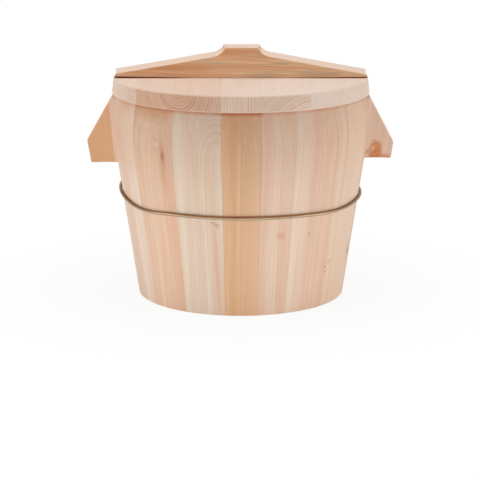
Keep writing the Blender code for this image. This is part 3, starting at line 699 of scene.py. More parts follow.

# %% [markdown]
# ## Wood for the staves
# Each stave comes from another board, so each has its own tones, its own pith and its own knots. Lengths
# are in metres from the stave's middle, across it and up the grain, and tones are as they look on a screen.
# Random boards would be shorter to write, but the front ones have marks that can be told apart, so each is
# written down. Where the belly cuts across the rings the tops of the staves show arches.

# %% Wood for the staves
# In each stave, the darkening towards the rim is painted shade, and so is the darker band under the lid's
# edge.
STAVE_WOOD = {
    "stave_01": dict(
        early=(233, 209, 189), late=(211, 168, 139), streak=(224, 186, 158), pale=(237, 219, 202),
        pith=(-0.06, -0.03), ring=0.0016, rim_shade=0.94, heart=(0.067, 0.004, 0.3, (223, 183, 156)),
        # The first strip is a painted highlight that lightens the stave towards the barrel's left outline.
        strips=((-0.019, 0.008, (236, 216, 198), 0.4), (0.0205, 0.0035, (236, 217, 198), 0.6)),
        knots=(smear(0.004, 0.108, 0.016, 0.55, (214, 156, 108), 0.45),
               smear(0.004, 0.068, 0.03, 1.1, (224, 182, 152), 0.4))),
    "stave_02": dict(
        early=(230, 195, 168), late=(196, 144, 112), streak=(220, 174, 144), pale=(232, 202, 177),
        pith=(0.006, -0.034), ring=0.0015, rim_shade=0.86, under_lid_shade=0.5, rise=0.01,
        strips=((-0.004, 0.008, (233, 203, 174), 0.5), (0.02, 0.004, (221, 174, 147), 0.45)),
        knots=(knot(0.0153, 0.06, 0.0015, 0.6, stretch=4.0, bend=-0.003, halo=3.0, warm=0.5,
                    tint=(196, 126, 88)),
               smear(0.014, 0.048, 0.0032, 9.0, (206, 148, 116), 0.4),
               smear(0.0, 0.106, 0.022, 0.55, (210, 148, 98), 0.5))),
    "stave_03": dict(
        early=(225, 201, 180), late=(194, 158, 132), streak=(221, 186, 159), pale=(231, 212, 194),
        pith=(0.026, -0.03), ring=0.0015, rim_shade=0.89, under_lid_shade=0.5, rise=0.01,
        strips=((-0.0185, 0.004, (229, 212, 191), 0.7),),
        knots=(knot(0.014, -0.0036, 0.003, 0.55, stretch=0.24, bend=0.0),
               knot(0.017, -0.0058, 0.003, 0.65, stretch=0.24, bend=0.0),
               knot(0.0178, -0.0084, 0.0018, 0.5, stretch=0.32, bend=0.0),
               smear(0.015, -0.05, 0.0018, 25.0, (219, 163, 140), 0.55))),
    "stave_04": dict(
        early=(223, 182, 146), late=(198, 148, 108), streak=(214, 165, 124), pale=(230, 194, 161),
        pith=(0.11, 0.012), ring=0.0023, rim_shade=0.87, under_lid_shade=0.75, contrast=0.55, streaks=0.4,
        sway=0.002, heart=(0.1, 0.012, 0.6, (222, 182, 152)),
        strips=((-0.007, 0.0035, (214, 164, 116), 0.5), (0.018, 0.003, (219, 181, 153), 0.6))),
    "stave_05": dict(
        early=(227, 195, 171), late=(206, 158, 127), streak=(220, 180, 154), pale=(232, 206, 184),
        pith=(-0.085, -0.02), ring=0.0025, rim_shade=0.89, contrast=0.5, streaks=0.4, sway=0.003,
        strips=((-0.0125, 0.003, (222, 180, 154), 0.4), (-0.003, 0.005, (232, 207, 184), 0.5)),
        knots=(smear(0.0052, -0.018, 0.004, 0.75, (202, 144, 112), 0.5, bend=0.003, halo=1.7, rough=0.6),
               smear(0.008, -0.06, 0.0042, 14.0, (214, 169, 138), 0.28))),
    "stave_06": dict(
        early=(228, 200, 178), late=(206, 164, 135), streak=(221, 184, 158), pale=(233, 209, 190),
        pith=(0.07, -0.03), ring=0.0025, rim_shade=0.88, contrast=0.5, streaks=0.4, sway=0.003,
        strips=((-0.01, 0.004, (235, 213, 194), 0.4), (0.009, 0.005, (220, 174, 148), 0.6)),
        knots=(knot(0.0077, -0.019, 0.0008, 0.9, stretch=1.0),)),
    "stave_07": dict(
        early=(226, 193, 168), late=(204, 154, 123), streak=(217, 173, 144), pale=(231, 205, 182),
        pith=(-0.06, -0.04), ring=0.0027, rim_shade=0.89, contrast=0.45, streaks=0.4,
        strips=((-0.011, 0.004, (220, 174, 147), 0.4), (0.011, 0.005, (233, 209, 186), 0.5)),
        knots=(knot(0.0057, -0.0553, 0.0007, 0.6, stretch=1.4, bend=0.0),
               knot(0.0052, -0.0588, 0.0009, 0.9, stretch=1.3, bend=0.001),
               knot(0.0062, -0.064, 0.0007, 0.9, stretch=1.3, bend=0.001),
               knot(0.011, -0.0545, 0.0035, 0.0, stretch=0.8, bend=0.003, warm=0.3, halo=1.6))),
    "stave_08": dict(
        early=(232, 202, 178), late=(211, 163, 131), streak=(222, 179, 149), pale=(235, 209, 187),
        pith=(0.07, -0.04), ring=0.0026, rim_shade=0.91, contrast=0.45, streaks=0.4,
        knots=(knot(0.016, -0.053, 0.0016, 0.9, stretch=2.6, bend=0.002, halo=3.0, warm=0.5,
                    tint=(202, 128, 98)),)),
    "stave_09": dict(
        early=(226, 193, 167), late=(203, 152, 119), streak=(218, 171, 140), pale=(231, 204, 180),
        pith=(-0.012, -0.036), ring=0.002, rim_shade=0.95,
        knots=(knot(-0.01, 0.03, 0.0028, 0.6),)),
    "stave_10": dict(
        early=(226, 199, 177), late=(201, 158, 128), streak=(219, 181, 154), pale=(232, 209, 189),
        pith=(0.08, -0.01), ring=0.0014, rim_shade=0.93),
    "stave_11": dict(
        early=(222, 183, 149), late=(198, 148, 110), streak=(213, 166, 128), pale=(229, 196, 164),
        pith=(-0.09, 0.015), ring=0.0013, rim_shade=0.92, contrast=0.45, sway=0.002),
    "stave_12": dict(
        early=(227, 196, 172), late=(202, 152, 121), streak=(219, 174, 145), pale=(232, 206, 184),
        pith=(0.01, -0.032), ring=0.0021, rim_shade=0.93,
        knots=(knot(0.006, -0.04, 0.0022, 0.7),)),
    "stave_13": dict(
        early=(227, 200, 178), late=(203, 161, 132), streak=(220, 183, 156), pale=(233, 210, 190),
        pith=(-0.04, -0.045), ring=0.0017, rim_shade=0.93),
    "stave_14": dict(
        early=(225, 191, 164), late=(201, 150, 117), streak=(216, 169, 136), pale=(231, 202, 176),
        pith=(0.06, -0.02), ring=0.0015, rim_shade=0.93,
        knots=(knot(-0.008, 0.05, 0.0012, 0.8),)),
    "stave_15": dict(
        early=(227, 196, 173), late=(204, 157, 126), streak=(219, 176, 147), pale=(232, 206, 185),
        pith=(-0.02, -0.04), ring=0.0019, rim_shade=0.95),
    "ear_stave_left": dict(
        early=(226, 189, 165), late=(202, 151, 116), streak=(211, 157, 114), pale=(223, 181, 146),
        pith=(0.004, -0.16), ring=0.0019, contrast=0.2, streaks=0.3, sway=0.0015, rise=-0.04,
        heart=(0.158, 0.001, 0.95, (218, 165, 121))),
    "ear_stave_right": dict(
        early=(219, 184, 160), late=(198, 149, 117), streak=(210, 169, 140), pale=(228, 198, 174),
        pith=(-0.004, -0.066), ring=0.0019, contrast=0.3,
        knots=(smear(-0.0085, 0.05, 0.0066, 1.5, (203, 126, 70), 0.9, cross=True, halo=1.45, rough=0.5),
               knot(-0.0085, 0.05, 0.0062, 0.35, stretch=1.5, bend=0.0, cross=True, eye=True, warm=0.0,
                    rough=0.5),
               smear(-0.015, 0.0422, 0.012, 0.4, (196, 112, 64), 0.7, cross=True, halo=1.7),
               knot(-0.006, 0.0522, 0.0008, 0.95, stretch=1.3, bend=0.0, cross=True, tint=(228, 188, 144),
                    warm=0.9, halo=3.6, rough=0.5),
               knot(-0.0056, 0.0606, 0.0011, 0.7, stretch=0.7, bend=0.0, cross=True, rough=0.6),
               knot(0.0, 0.0485, 0.0008, 0.7, stretch=3.6, bend=0.0, cross=True, rough=0.3))),
}
print("stave wood:", len(STAVE_WOOD), "boards")

# %% [markdown]
# ## Each stave's place in its tree
# On the real barrel the grain of every stave leans out with the taper. One finish for all of them, turned
# round the barrel, would repeat. So the middle of each CAD stave is found, and the board's grain, width and
# pith are laid out from there.

# %% Each stave's place in its tree
STAVE_LEAN = math.atan(taper_slope)
STAVE_MIDDLE = 0.10
# Painted shade in a band at the top of each stave, where the lid's edge overhangs it.
UNDER_LID_SHADE = (188, 106, 60)
UNDER_LID_SHADE_DEPTH = (0.0048, 0.0012)
UNDER_LID_SHADE_SHARE = 0.32
SEED_STEP = 1.7
NEAR_FACE = 1e-4


def stave_side(node):
    """The angle of a stave's middle round the barrel, and half the angle that it fills."""
    points = node_points(node)
    middle = sum((p.to_2d().normalized() for p in points), Vector((0.0, 0.0)))
    middle_angle = math.atan2(middle.y, middle.x)
    facing = [p.to_2d() @ Matrix.Rotation(middle_angle, 2) for p in points]
    angles = [math.atan2(p.y, p.x) for p in facing if p.length > base_inside - NEAR_FACE]
    return middle_angle + (max(angles) + min(angles)) / 2.0, (max(angles) - min(angles)) / 2.0


def stave_wood(node):
    """The solid fir of one stave: its grain leans with the taper, and its pith lies as its board was cut."""
    values = dict(STAVE_WOOD[node])
    angle = stave_side(node)[0]
    outward = Vector((math.cos(angle), math.sin(angle), 0.0))
    grain = outward * math.sin(STAVE_LEAN) + Vector((0.0, 0.0, math.cos(STAVE_LEAN)))
    across = Vector((-math.sin(angle), math.cos(angle), 0.0))
    centre = outward * outer_radius(STAVE_MIDDLE) + Vector((0.0, 0.0, STAVE_MIDDLE))
    place = wood_place(centre, grain, across, values.pop("pith"))
    seed = SEED_STEP * (1 + list(STAVE_WOOD).index(node))
    # The band under the lid's edge gets painted shade.
    low, high = [barrel_height - depth for depth in UNDER_LID_SHADE_DEPTH]
    shade_under_lid = (low, high, UNDER_LID_SHADE, values.pop("under_lid_shade", UNDER_LID_SHADE_SHARE))
    return fir(f"fir_{node}", place, seed=seed, shade_under_lid=shade_under_lid, **values)


print("staves fill", round(sum(2.0 * math.degrees(stave_side(node)[1]) for node in STAVE_WOOD), 1), "degrees")

# %% [markdown]
# ## The plain staves
# Fifteen staves follow one rule, so one Geometry Nodes tree makes them all. It starts from a block of
# small cells. Each corner of a cell has a place across the stave, through the wall and up the barrel, and
# the tree moves it to the angle, radius and height that these stand for. Each stave swells a little past its
# CAD solid, so that the joints look as tight as glued ones.

# %% The plain staves
GLUE_LINE = 0.00003
STAVE_EDGE = 0.00012
STAVE_SWELL = 0.00012
STAVE_CELLS = {"Vertices X": 13, "Vertices Y": 3, "Vertices Z": 49}

tree, inputs = new_tree("coopered_stave", (
    ("First angle", "Float"), ("Last angle", "Float"), ("Height", "Float"), ("Base radius", "Float"),
    ("Taper slope", "Float"), ("Taper top", "Float"), ("Belly centre", "Float"), ("Belly height", "Float"),
    ("Belly arc", "Float"), ("Inside at base", "Float"), ("Inner slope", "Float"), ("Glue line", "Float"),
    ("Wood", "Material")))
start = Wire(tree)
cells = start.node("GeometryNodeMeshCube", sockets={"Size": (1.0, 1.0, 1.0), **STAVE_CELLS})
around, through, up = start.node("GeometryNodeInputPosition").parts()
z = (up + 0.5) * inputs["Height"]
lift = z - inputs["Belly height"]
arc = (inputs["Belly arc"] * inputs["Belly arc"] - lift * lift).root() + inputs["Belly centre"]
straight = inputs["Base radius"] + inputs["Taper slope"] * z
on_belly = z.maths("GREATER_THAN", z, inputs["Taper top"])
outside = straight + on_belly * (arc - straight)
inside = inputs["Inside at base"] + inputs["Inner slope"] * z
radius = inside + (through + 0.5) * (outside - inside)
room = inputs["Last angle"] - inputs["First angle"] - inputs["Glue line"] / radius
angle = inputs["First angle"] + inputs["Glue line"] / radius * 0.5 + (0.5 - around) * room
place = start.at(radius * angle.maths("COSINE", angle), radius * angle.maths("SINE", angle), z)
bent = start.node("GeometryNodeSetPosition", sockets={"Geometry": cells, "Position": place})
close_tree(bent, inputs["Wood"])

plain_staves = sorted(name for name in STAVE_WOOD if name.startswith("stave"))
for node in plain_staves:
    angle, half_angle = stave_side(node)
    half_angle += STAVE_SWELL / rim_radius
    stave = grow(node + "_fir", tree, {
        "First angle": angle - half_angle, "Last angle": angle + half_angle, "Height": barrel_height,
        "Base radius": base_radius, "Taper slope": taper_slope, "Taper top": taper_top,
        "Belly centre": belly_centre, "Belly height": belly_height, "Belly arc": BELLY_ARC,
        "Inside at base": base_inside, "Inner slope": inner_slope, "Glue line": GLUE_LINE,
        "Wood": stave_wood(node)})
    hang(ease(stave, STAVE_EDGE), "barrel", "stave_wood", node)
print("staves:", len(plain_staves), "with", len(stave.data.polygons), "faces each")

# %% [markdown]
# ## A section of an ear
# The two staves at the sides are thicker boards, carved so that a solid ear stands out under the rim. It
# could be cut with booleans, but its sides sweep into the stave in a hollow curve. So the stave is made from
# level sections: each has the ear's flat face, a small round at its corner, the sweep and the barrel's curve.

# %% A section of an ear
EAR_ROOT_SHARE = 0.92
EAR_COVE = (0.15, 0.55)
EAR_ROUND = 0.0012
EAR_FACE_SHARES = (0.0, 0.3, 0.6)
ROUND_STEPS = 4
SWEEP_STEPS = 12
JOINT_STEPS = 2
INSIDE_STEPS = 10


def spread(first, last, steps):
    return [first + (last - first) * i / steps for i in range(steps + 1)]


def curve(first, bend, last, steps):
    """Points on a smooth bend between two points."""
    return [(1.0 - t) ** 2 * first + 2.0 * t * (1.0 - t) * bend + t ** 2 * last
            for t in spread(0.0, 1.0, steps)]


def ear_half(face, face_half, radius, half_angle, has_ear):
    """Half of an ear stave's outer edge, from the middle of the ear to the joint."""
    side = half_angle - GLUE_LINE / 2.0 / radius
    root_half = EAR_ROOT_SHARE * radius * math.sin(side)
    root_at = Vector((math.sqrt(radius ** 2 - root_half ** 2), root_half))
    corner = Vector((face, face_half))
    bend = Vector((root_at.x + EAR_COVE[0] * (face - root_at.x),
                   face_half + EAR_COVE[1] * (root_half - face_half)))
    sweep = curve(corner, bend, root_at, SWEEP_STEPS)
    rounded = curve(corner - Vector((0.0, EAR_ROUND)), corner,
                    corner + (sweep[1] - corner).normalized() * EAR_ROUND, ROUND_STEPS)
    half = [Vector((face, face_half * share)) for share in EAR_FACE_SHARES] + rounded + sweep[2:]
    half += [Vector((radius * math.cos(a), radius * math.sin(a)))
             for a in spread(math.asin(root_half / radius), side, JOINT_STEPS)[1:]]
    if not has_ear:
        half = [Vector((math.sqrt(radius ** 2 - min(p.y, radius) ** 2), p.y)) for p in half]
    return half


def ear_section(z, face, face_half, half_angle, has_ear=True, drop=0.0):
    """One level section of an ear stave. Drop lowers what stands out from the wall, for the undercut."""
    radius = outer_radius(z)
    half = ear_half(face, face_half, radius, half_angle, has_ear)
    outline = [Vector((p.x, -p.y)) for p in half[:0:-1]] + half
    lowered = [max(0.0, (p.length - radius) / (face - radius)) * drop if has_ear else 0.0 for p in outline]
    points = [Vector((p.x, p.y, z - low)) for p, low in zip(outline, lowered)]
    inside = inner_radius(z)
    side = half_angle - GLUE_LINE / 2.0 / inside
    turns = spread(side, -side, INSIDE_STEPS)
    return points + [Vector((inside * math.cos(a), inside * math.sin(a), z)) for a in turns]


print("ear section:", SWEEP_STEPS, "steps in each sweep")

# %% [markdown]
# ## The ear staves
# The tip and the toe of each ear are rounded, its top slopes up to the rim and its underside is cut back. One
# section moved along a path can't change so much, so each level has its own section, drawn in near the tip
# and the toe, and a closed skin is lofted through them all.

# %% The ear staves
EAR_RIM_LEDGE = 0.002
EAR_TIP_HALF_WIDTH = 0.008
EAR_TOP_SHARE = 0.84
EAR_UNDERCUT = 0.003
EAR_TIP_ROUND = 0.0016
EAR_TIP_SHARE = 0.85
EAR_FOOT_STEP = 0.0002
FOOT_LEVELS = 24
SLOPE_LEVELS = 20
EAR_CARVING = {"ear_stave_left": dict(inset=0.0003, tip_drop=0.0492, toe_drop=0.0226, toe_setback=0.0040),
               "ear_stave_right": dict(inset=0.0016, tip_drop=0.0504, toe_drop=0.0167, toe_setback=0.0022)}


def ear_sections(node, tip_reach, half_angle):
    """Level sections from the stave's foot to its rim. Each ear was carved a little differently."""
    carving = EAR_CARVING[node]
    tip_reach -= carving["inset"]
    tip_height = barrel_height - carving["tip_drop"]
    toe = tip_height - carving["toe_drop"]
    toe_reach = tip_reach - carving["toe_setback"]
    rim_face = rim_radius + EAR_RIM_LEDGE
    rim_half = EAR_TOP_SHARE * rim_radius * math.sin(half_angle)
    foot = toe + EAR_UNDERCUT
    sections = [ear_section(z, toe_reach, EAR_TIP_HALF_WIDTH, half_angle, has_ear=False)
                for z in spread(0.0, foot, FOOT_LEVELS)]
    for turn in spread(0.0, math.pi / 2.0, ROUND_STEPS):
        inset = EAR_ROUND * (1.0 - math.sin(turn))
        rise = EAR_ROUND * (1.0 - math.cos(turn))
        sections.append(ear_section(foot + EAR_FOOT_STEP + rise, toe_reach - inset,
                                    EAR_TIP_HALF_WIDTH - inset, half_angle, drop=EAR_UNDERCUT))
    slope_run = barrel_height - tip_height
    low_end = Vector((toe_reach + EAR_TIP_SHARE * carving["toe_setback"], tip_height - EAR_TIP_ROUND))
    high_end = Vector((tip_reach - (tip_reach - rim_face) * EAR_TIP_ROUND / slope_run,
                       tip_height + EAR_TIP_ROUND))
    tip = [(p.y, p.x) for p in curve(low_end, Vector((tip_reach, tip_height)), high_end, ROUND_STEPS)]
    slope = []
    for z in spread(tip_height + EAR_TIP_ROUND, barrel_height, SLOPE_LEVELS)[1:]:
        share = (barrel_height - z) / slope_run
        slope.append((z, rim_face + share * (tip_reach - rim_face)))
    for z, face in tip + slope:
        share = max(0.0, min(1.0, (barrel_height - z) / slope_run))
        face_half = rim_half + share * (EAR_TIP_HALF_WIDTH - rim_half)
        drop = EAR_UNDERCUT * max(0.0, (tip_height - z) / (tip_height - toe))
        sections.append(ear_section(z, face, face_half, half_angle, drop=drop))
    return sections


def loft(sections):
    """A closed solid through level sections of equal point counts."""
    bm = bmesh.new()
    rings = [[bm.verts.new(p) for p in section] for section in sections]
    for low, high in zip(rings, rings[1:]):
        for i in range(len(low)):
            j = (i + 1) % len(low)
            bm.faces.new((low[i], low[j], high[j], high[i]))
    bm.faces.new(rings[0][::-1])
    bm.faces.new(rings[-1])
    return bm


for node in ("ear_stave_left", "ear_stave_right"):
    angle, half_angle = stave_side(node)
    tip_reach = max(abs(v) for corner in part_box(node) for v in corner.to_2d())
    bm = loft(ear_sections(node, tip_reach, half_angle + STAVE_SWELL / rim_radius))
    bmesh.ops.rotate(bm, verts=bm.verts, matrix=Matrix.Rotation(angle, 3, "Z"))
    ear = dress(ease(new_piece(node + "_fir", bm), 0.0), stave_wood(node))
    hang(ear, "barrel", "stave_wood", node)
    print(node, len(ear.data.polygons), "faces, reach", round(tip_reach, 4))

# %% [markdown]
# ## Bare metal
# The wire and the screws are bare metal: fine scratches along the way that it was drawn and duller patches.
# On the wire a painted dark brown reflection lies along its upper side. Two separate finishes would be alike
# but for a few numbers, so one function makes them both.

# %% Bare metal
PATCH_SCALE = 90.0
PATCH_BAND = (0.42, 0.66)
PATCH_SHADE = 0.62
PATCH_ROUGHENS = 0.12
SCRATCH_ROUGHENS = 0.16
DARK_REFLECTION_BAND = (0.0, 0.40)


def metal(name, colour, rough, streaks, wear, dark_reflection=None):
    """Bare metal with fine scratches and duller patches. A painted dark reflection, if any, lies where it
    faces upwards.
    """
    material, start = new_material(name)
    coordinates = start.node("ShaderNodeTexCoord", out="Object")
    normal = start.node("ShaderNodeTexCoord", out="Normal")
    fine = noise(coordinates, streaks, 1.0, detail=3.0)
    patch = noise(coordinates, (PATCH_SCALE, PATCH_SCALE, PATCH_SCALE), 2.0, detail=3.0)
    dull = patch.band(*PATCH_BAND)
    dark = tuple(PATCH_SHADE * v for v in colour[:3]) + (1.0,)
    base = (dull * wear).between(colour, dark)
    if dark_reflection:
        # Painted reflection: the upper side is darkened as if it mirrored dark surroundings.
        base = base.mixed(normal.along(UP).band(*DARK_REFLECTION_BAND), dark_reflection)
    rough = rough + (fine - 0.5) * SCRATCH_ROUGHENS + dull * PATCH_ROUGHENS
    close_finish(start, fine, strength=0.15, depth=0.0001,
                 sockets={"Base Color": base, "Metallic": 1.0, "Roughness": rough})
    return material


print("metal: patches about", round(1000.0 / PATCH_SCALE), "mm across")

# %% [markdown]
# ## The hoop
# A single round wire, drawn tight and closed at the back with a small bead of solder. It was driven on by
# hand, so it isn't level: it lies lower in front, is drawn up at its left side, dips beside that and sags in
# front on the right. A curve could be drawn by hand, but these make a rule for its height, so a circle in
# Geometry Nodes is moved to that height and out to the barrel's radius there, and a round section is swept
# along it. Each bend has its height, and its turn round the barrel in degrees with how tight it is.

# %% The hoop
HOOP_WIRE_RADIUS = 0.0016
HOOP_HEIGHT = 0.1038
HOOP_TILT = 0.0018
HOOP_BENDS = {"Rise": 0.0060, "Dip": -0.0029, "Sag": -0.0026}
HOOP_TURNS = {"Rise": (172.0, 11.4), "Dip": (218.0, 29.0), "Sag": (322.0, 14.0)}
HOOP_GAP = 0.0002
HOOP_BEAD = 0.25
HOOP_BEAD_RUN = (0.9990, 0.9999)
HOOP_STEPS = 240
WIRE_SIDES = 16

tree, inputs = new_tree("wire_hoop", (
    ("Height", "Float"), ("Tilt", "Float"), ("Rise", "Float"), ("Dip", "Float"), ("Sag", "Float"),
    ("Wire radius", "Float"), ("Base radius", "Float"), ("Taper slope", "Float"), ("Stand off", "Float"),
    ("Bead", "Float"), ("Metal", "Material")))
start = Wire(tree)
ring = start.node("GeometryNodeCurvePrimitiveCircle", sockets={"Resolution": HOOP_STEPS, "Radius": 1.0})
east, north = start.node("GeometryNodeInputPosition").parts()[:2]
z = inputs["Height"] + inputs["Tilt"] * north
for label, (degrees, tightness) in HOOP_TURNS.items():
    turn = math.radians(degrees)
    towards = east * math.cos(turn) + north * math.sin(turn) - 1.0
    z = z + inputs[label] * towards.maths("EXPONENT", towards * tightness)
radius = inputs["Base radius"] + inputs["Taper slope"] * z + inputs["Stand off"]
place = start.at(east * radius, north * radius, z)
bead = north.band(*HOOP_BEAD_RUN) * inputs["Bead"] + 1.0
thick = start.node("GeometryNodeSetCurveRadius", sockets={"Curve": ring, "Radius": bead})
laid = start.node("GeometryNodeSetPosition", sockets={"Geometry": thick, "Position": place})
section = start.node("GeometryNodeCurvePrimitiveCircle",
                     sockets={"Resolution": WIRE_SIDES, "Radius": inputs["Wire radius"]})
wire = start.node("GeometryNodeCurveToMesh", sockets={"Curve": laid, "Profile Curve": section})
close_tree(wire, inputs["Metal"])

hoop_metal = metal("drawn_wire", tone(170, 153, 129), rough=0.34, streaks=(40.0, 40.0, 2400.0), wear=0.25,
                   dark_reflection=tone(141, 99, 62))
hoop = grow("hoop_wire", tree, {
    "Height": HOOP_HEIGHT, "Tilt": HOOP_TILT, **HOOP_BENDS, "Wire radius": HOOP_WIRE_RADIUS,
    "Base radius": base_radius, "Taper slope": taper_slope, "Bead": HOOP_BEAD, "Metal": hoop_metal,
    "Stand off": HOOP_WIRE_RADIUS * math.hypot(1.0, taper_slope) + HOOP_GAP})
hang(ease(hoop, 0.0), "barrel", "hoop_wire", "hoop")

# %% [markdown]
# ## The pins
# Bamboo pins sit out of sight in the joints between the staves and between the lid's boards. The CAD pins
# already have the right shape, so they stay and only get a bamboo finish, whose fibres run along the pin.

# %% The pins
BAMBOO_PALE = tone(222, 192, 142)
BAMBOO_BUNDLE = tone(170, 128, 76)
BAMBOO_SHADE = tone(205, 176, 120)
BUNDLE_SCALE = (1800.0, 1800.0, 1.0)
BUNDLE_BAND = (0.45, 0.7)
SHADE_SCALE = (300.0, 300.0, 1.0)
SHADE_SHARE = 0.4


def bamboo(name, around_barrel):
    """Pale bamboo with fibre bundles. The fibres of the barrel's pins run round the barrel."""
    material, start = new_material(name)
    x, y, z = start.node("ShaderNodeTexCoord", out="Object").parts()
    side = (x * x + y * y).root() if around_barrel else y
    section = start.at(side, z, 0.0)
    bundle = noise(section, BUNDLE_SCALE, 4.0)
    shade = noise(section, SHADE_SCALE, 6.0)
    colour = bundle.band(*BUNDLE_BAND).between(BAMBOO_PALE, BAMBOO_BUNDLE)
    colour = colour.mixed(shade * SHADE_SHARE, BAMBOO_SHADE)
    close_finish(start, bundle, strength=0.3, depth=0.0001,
                 sockets={"Base Color": colour, "Roughness": 0.45 + bundle * 0.2})
    return material


pin_bamboo = {"stave_pin": bamboo("bamboo_round", True), "lid_pin": bamboo("bamboo_straight", False)}
for kind, finish in pin_bamboo.items():
    pins = sorted(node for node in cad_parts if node.startswith(kind))
    for node in pins:
        dress(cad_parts[node], finish)
    print("pins:", len(pins), "of kind", kind)

# %% [markdown]
# ## Rounds of boards
# The lid and the grate are both rounds of boards, glued edge to edge and then turned. Each board could be
# modelled by itself, but then its curved edge would have to meet its neighbour's. So the model is made in the
# maker's order: a disc is turned, and each board is what is left of a copy between two joints.

# %% Rounds of boards
CUT_TOLERANCE = 1e-8
PAST_ROUND = 1.2


def turned(profile, sides):
    """A closed solid of turning, from its profile's top to its bottom."""
    rings = []
    for radius, z in profile:
        turns = [2.0 * math.pi * i / sides for i in range(sides)]
        rings.append([Vector((radius * math.cos(t), radius * math.sin(t), z)) for t in turns])
    return loft(rings)


def keep_between(bm, axis, low, high):
    """Cuts a closed solid with two planes across an axis and closes the cuts."""
    for place, sign in ((low, -1.0), (high, 1.0)):
        normal = Vector((0.0, 0.0, 0.0))
        normal[axis] = sign
        point = Vector((0.0, 0.0, 0.0))
        point[axis] = place
        cut = bmesh.ops.bisect_plane(bm, geom=bm.verts[:] + bm.edges[:] + bm.faces[:], plane_co=point,
                                     plane_no=normal, clear_outer=True, dist=CUT_TOLERANCE)
        loop = [e for e in cut["geom_cut"] if isinstance(e, bmesh.types.BMEdge)]
        if loop:
            bmesh.ops.holes_fill(bm, edges=loop, sides=0)
    return bm


def cut_away(piece, bm):
    """Takes a shape out of a piece."""
    tool = new_piece("cutting_tool", bm)
    modifier = piece.modifiers.new("cut", "BOOLEAN")
    modifier.operation = "DIFFERENCE"
    modifier.solver = "EXACT"
    modifier.object = tool
    make_plain(piece)
    bpy.data.objects.remove(tool, do_unlink=True)


def joints_between(boxes):
    """Where neighbouring boards meet, halfway between their boxes."""
    return [(left[1].x + right[0].x) / 2.0 for left, right in zip(boxes, boxes[1:])]


def board_spans(joints, reach):
    """Each board's left edge, right edge and middle. The outer boards run on past the round's reach."""
    edges = [-PAST_ROUND * reach] + joints + [PAST_ROUND * reach]
    spans = []
    for left, right in zip(edges, edges[1:]):
        left += GLUE_LINE / 2.0
        right -= GLUE_LINE / 2.0
        spans.append((left, right, (max(left, -reach) + min(right, reach)) / 2.0))
    return spans


def board_wood(node, values, middle, top, **rest):
    """The fir of a board that runs from front to back."""
    values = dict(values)
    place = wood_place((middle, 0.0, top), (0.0, 1.0, 0.0), (1.0, 0.0, 0.0), values.pop("pith"))
    return fir(f"fir_{node}", place, **rest, **values)


print("rounds: joints are", round(1000.0 * GLUE_LINE, 3), "mm wide")

# %% [markdown]
# ## The lid's boards
# Five boards make the lid. Its edge is lightly rounded, and a step underneath drops into the barrel's mouth,
# which a plain disc wouldn't show, so the turned outline has them both. Countersinks are cut into the
# underside for the handle's screws.

# %% The lid's boards
LID_EDGE_ROUND = 0.0020
LID_UNDER_ROUND = 0.0008
LID_UNDER_BEND = 0.3
LID_TOP_DEPTH = 0.002
LID_EDGE_STEPS = 5
LID_SIDES = 224
SINK_SIDES = 48
BOARD_EDGE = 0.00010
SCREW_HEAD_DEPTH = 0.003
SCREW_SHANK_RADIUS = 0.002
SCREW_PLAY = 0.0002
SCREW_SINK = 0.0004
SINK_PAST = 0.001
SINK_BELOW_TOP = 0.004
# The tone of the painted shade on the lid under the handle's ends.
SHADE_UNDER_HANDLE = (130, 46, 12)

lid_nodes = [f"lid_board_{n}" for n in range(1, 6)]
lid_boxes = [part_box(node) for node in lid_nodes]
lid_radius = max(box[1].y for box in lid_boxes)
lid_top = max(box[1].z for box in lid_boxes)
lid_bottom = min(box[0].z for box in lid_boxes)
lid_points = [p for node in lid_nodes for p in node_points(node)]
lid_seat = min(p.z for p in lid_points if p.to_2d().length > lid_radius - NEAR_FACE)
step_radius = max(p.to_2d().length for p in lid_points if p.z < lid_bottom + LEVEL)
lid_top_radius = max(p.to_2d().length for p in lid_points if p.z > lid_top - LID_TOP_DEPTH)

screw_nodes = [f"handle_screw_{n}" for n in range(1, 5)]
screw_boxes = [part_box(node) for node in screw_nodes]
screw_places = [(low + high) / 2.0 for low, high in screw_boxes]
screw_head_radius = (screw_boxes[0][1].x - screw_boxes[0][0].x) / 2.0


def lid_profile():
    """The lid's outline from its top to its underside. It is a little narrower at the top."""
    edge = [(lid_top_radius - LID_EDGE_ROUND * (1.0 - math.cos(turn)),
             lid_top - LID_EDGE_ROUND * (1.0 - math.sin(turn)))
            for turn in spread(math.pi / 2.0, 0.0, LID_EDGE_STEPS)]
    low = LID_UNDER_ROUND
    bend = LID_UNDER_BEND * low
    under = [(lid_radius, lid_seat + low), (lid_radius - bend, lid_seat + bend),
             (lid_radius - low, lid_seat)]
    step = [(step_radius, lid_seat), (step_radius, lid_bottom + low), (step_radius - low, lid_bottom)]
    return edge + under + step


LID_WOOD = (
    dict(early=(228, 203, 184), late=(196, 152, 122), streak=(222, 186, 160), pale=(231, 210, 194),
         pith=(0.06, -0.004), ring=0.003, end_tint=(0.95, 0.91, 0.88)),
    dict(early=(226, 197, 176), late=(182, 130, 98), streak=(220, 181, 154), pale=(228, 202, 183),
         pith=(0.001, 0.0), ring=0.003, end_tint=(0.88, 0.75, 0.65), end_fade=(0.02, 0.044)),
    dict(early=(229, 206, 189), late=(182, 136, 106), streak=(224, 194, 172), pale=(231, 212, 198),
         pith=(0.14, 0.01), ring=0.0019, end_tint=(1.02, 0.98, 0.93)),
    dict(early=(229, 208, 193), late=(184, 144, 118), streak=(225, 197, 177), pale=(231, 213, 200),
         pith=(0.0255, 0.043), ring=0.0022, end_tint=(0.98, 0.92, 0.88)),
    dict(early=(227, 205, 189), late=(217, 191, 171), streak=(223, 194, 173), pale=(229, 210, 196),
         pith=(-0.0295, 0.043), ring=0.0022, end_tint=(1.01, 1.03, 1.04)),
)

